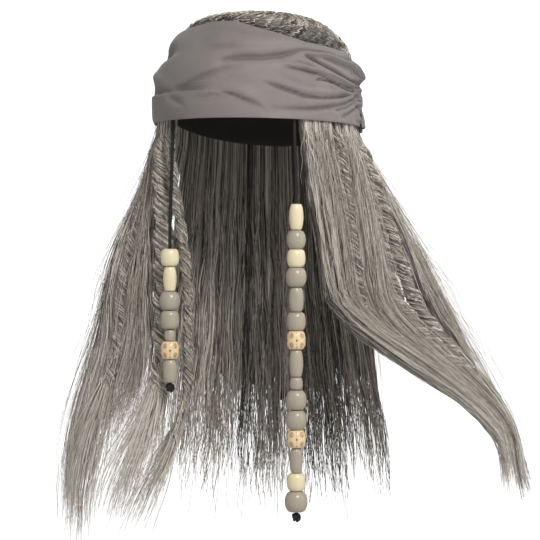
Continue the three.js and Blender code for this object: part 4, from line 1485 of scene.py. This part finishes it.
class WIG_OT_cap(bpy.types.Operator):
    """Make the net cap: its crown panel and its side band"""

    bl_idname = "wig.cap"
    bl_label = "Cap"

    def execute(self, context):
        head = context.scene.wig_head
        hair = context.scene.wig_hair
        angle = (np.arange(72) * 360 / 72)[None, :]
        seam = latitude_at(-hair.crown_edge - head.clearance, head.wall)
        start = latitude_at(-hair.crown_edge, head.wall)
        net_rows = np.linspace(0, 0.975, 26)[:, None]
        band_rows = np.linspace(0, 1, 10)[:, None]

        def net(grow):
            return head_point(angle, lerp(start, math.pi / 2, net_rows), grow, grow)

        def band(grow):
            return head_point(angle, lerp(latitude_at(rim_height(angle), grow), seam, band_rows), grow, grow)

        for name, face, rows in (("cap_net", net, net_rows), ("cap_band", band, band_rows)):
            outer = face(head.wall * 0.9)
            flat = np.stack(np.broadcast_arrays(angle * arc_scale(), rows * head.girth), axis=-1)
            piece = wall_solid(name + "_piece", outer, face(head.wall * 0.1), uv=flat, wrap=True)
            if name == "cap_net":
                rework(piece.data, close_top)
            piece.data.materials.append(painted("cap_net", paint_cap))
            place(piece, "cap", name)
        return {"FINISHED"}


def close_top(work):
    """Closes the small open ring at a dome's top, where its walls would meet."""
    rim = [f for f in work.faces if abs(f.normal.z) < 0.5 and max(v.co.xy.length for v in f.verts) < 0.012]
    bmesh.ops.delete(work, geom=rim, context="FACES_ONLY")
    bmesh.ops.holes_fill(work, edges=[e for e in work.edges if e.is_boundary], sides=0)


class WIG_OT_crown(bpy.types.Operator):
    """Make the combed hair on the crown"""

    bl_idname = "wig.crown"
    bl_label = "Crown hair"

    def execute(self, context):
        hair_piece("crown_hair", 0, crown_body, [crown_strands])
        return {"FINISHED"}


class WIG_OT_scarf(bpy.types.Operator):
    """Make the head scarf: its folded front panel and the ruched band behind"""

    bl_idname = "wig.scarf"
    bl_label = "Scarf"

    def execute(self, context):
        scarf = context.scene.wig_scarf
        # Columns stand closer together towards the gathers
        column = np.arange(257)
        angle = np.interp(column, (0, 50, 112, 256), (SCARF_START, 245, 290, SCARF_END))[:, None]
        rise = np.linspace(0, 1, 73)[None, :] ** 1.1
        lift = panel_lift(angle, rise)
        # The crease depth darkens the cloth as painted shade
        panel = scarf_wall("scarf_front_piece", angle, rise, lift, 0.0004, crease_depth(lift))
        panel.data.materials.append(painted("scarf_cloth", paint_scarf))
        place(panel, "scarf", "scarf_front")

        gap = 0.5
        angle = np.linspace(SCARF_END - 360 + gap, SCARF_START - gap, 271)[:, None]
        turn = (angle - angle[0]) / (angle[-1] - angle[0])
        rise = np.linspace(0, 1, 17)[None, :]
        pleat = 0.5 + 0.5 * np.cos(TAU * scarf.pleats * turn)
        fine = np.sin(TAU * scarf.pleats * 3.1 * turn + 3 * rise) * 0.5 + 0.5
        channel = 1 - 0.55 * sum(np.exp(-(((rise - level) / 0.045) ** 2)) for level in (0.16, 0.5, 0.84))
        frill = (scarf.frill * pleat + 0.0009 * fine) * channel + 0.0003
        near_seam = np.minimum(angle - angle[0], angle[-1] - angle)
        frill = frill + 0.004 * np.exp(-(((near_seam - 3) / 3) ** 2)) * (1 - smooth((rise - 0.2) / 0.25))
        # The band is painted darker in the hollows between its pleats, as painted shade
        band = scarf_wall("scarf_band_piece", angle, rise, frill, 0.0004, 0.8 * (1 - pleat) + 0 * rise)
        band.data.materials.append(painted("scarf_cloth", paint_scarf))
        place(band, "scarf", "scarf_band")
        return {"FINISHED"}


class WIG_OT_loose_locks(bpy.types.Operator):
    """Make the loose locks"""

    bl_idname = "wig.loose_locks"
    bl_label = "Loose locks"

    def execute(self, context):
        for i, lock in enumerate(LOOSE_LOCKS):
            hair_piece(lock.name, 100 + i, lock_body, [loose_strands, flyaways], lock)
        return {"FINISHED"}


class WIG_OT_twisted_locks(bpy.types.Operator):
    """Make the twisted locks"""

    bl_idname = "wig.twisted_locks"
    bl_label = "Twisted locks"

    def execute(self, context):
        for i, lock in enumerate(TWISTED_LOCKS):
            hair_piece(lock.name, 200 + i, twist_body, [twist_strands], lock)
        return {"FINISHED"}


class WIG_OT_bead_strings(bpy.types.Operator):
    """Make both strings of beads"""

    bl_idname = "wig.bead_strings"
    bl_label = "Bead strings"

    def execute(self, context):
        sizes = context.scene.wig_beads
        string_pieces("left", 309, sizes.left_drop, sizes.outward, LEFT_BEADS)
        string_pieces("right", 231.5, sizes.right_drop, 0.0, RIGHT_BEADS)
        return {"FINISHED"}


class WIG_PT_panel(bpy.types.Panel):
    """The wig's sizes, colours and pieces"""

    bl_label = "Pirate wig"
    bl_space_type = "VIEW_3D"
    bl_region_type = "UI"
    bl_category = "Wig"

    def draw(self, context):
        for name in GROUPS:
            box = self.layout.box()
            group = getattr(context.scene, name)
            for key in group.bl_rna.properties.keys():
                if key not in ("rna_type", "name"):
                    box.prop(group, key)
        for operator in OPERATORS:
            self.layout.operator(operator.bl_idname)


GROUPS = {
    "wig_head": HeadSizes,
    "wig_scarf": ScarfSizes,
    "wig_hair": HairSizes,
    "wig_beads": BeadSizes,
    "wig_finishes": Finishes,
}
OPERATORS = (
    WIG_OT_stage,
    WIG_OT_cap,
    WIG_OT_crown,
    WIG_OT_scarf,
    WIG_OT_loose_locks,
    WIG_OT_twisted_locks,
    WIG_OT_bead_strings,
)
CLASSES = (*GROUPS.values(), *OPERATORS, WIG_PT_panel)


def register():
    for cls in CLASSES:
        bpy.utils.register_class(cls)
    for name, cls in GROUPS.items():
        setattr(bpy.types.Scene, name, bpy.props.PointerProperty(type=cls))


def unregister():
    for name in GROUPS:
        delattr(bpy.types.Scene, name)
    for cls in reversed(CLASSES):
        bpy.utils.unregister_class(cls)


def main():
    register()
    bpy.ops.wig.stage()
    bpy.ops.wig.cap()
    bpy.ops.wig.crown()
    bpy.ops.wig.scarf()
    bpy.ops.wig.loose_locks()
    bpy.ops.wig.twisted_locks()
    bpy.ops.wig.bead_strings()
    boxes = {"cad": cad_box, "visual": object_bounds()}


if __name__ == "__main__":
    main()
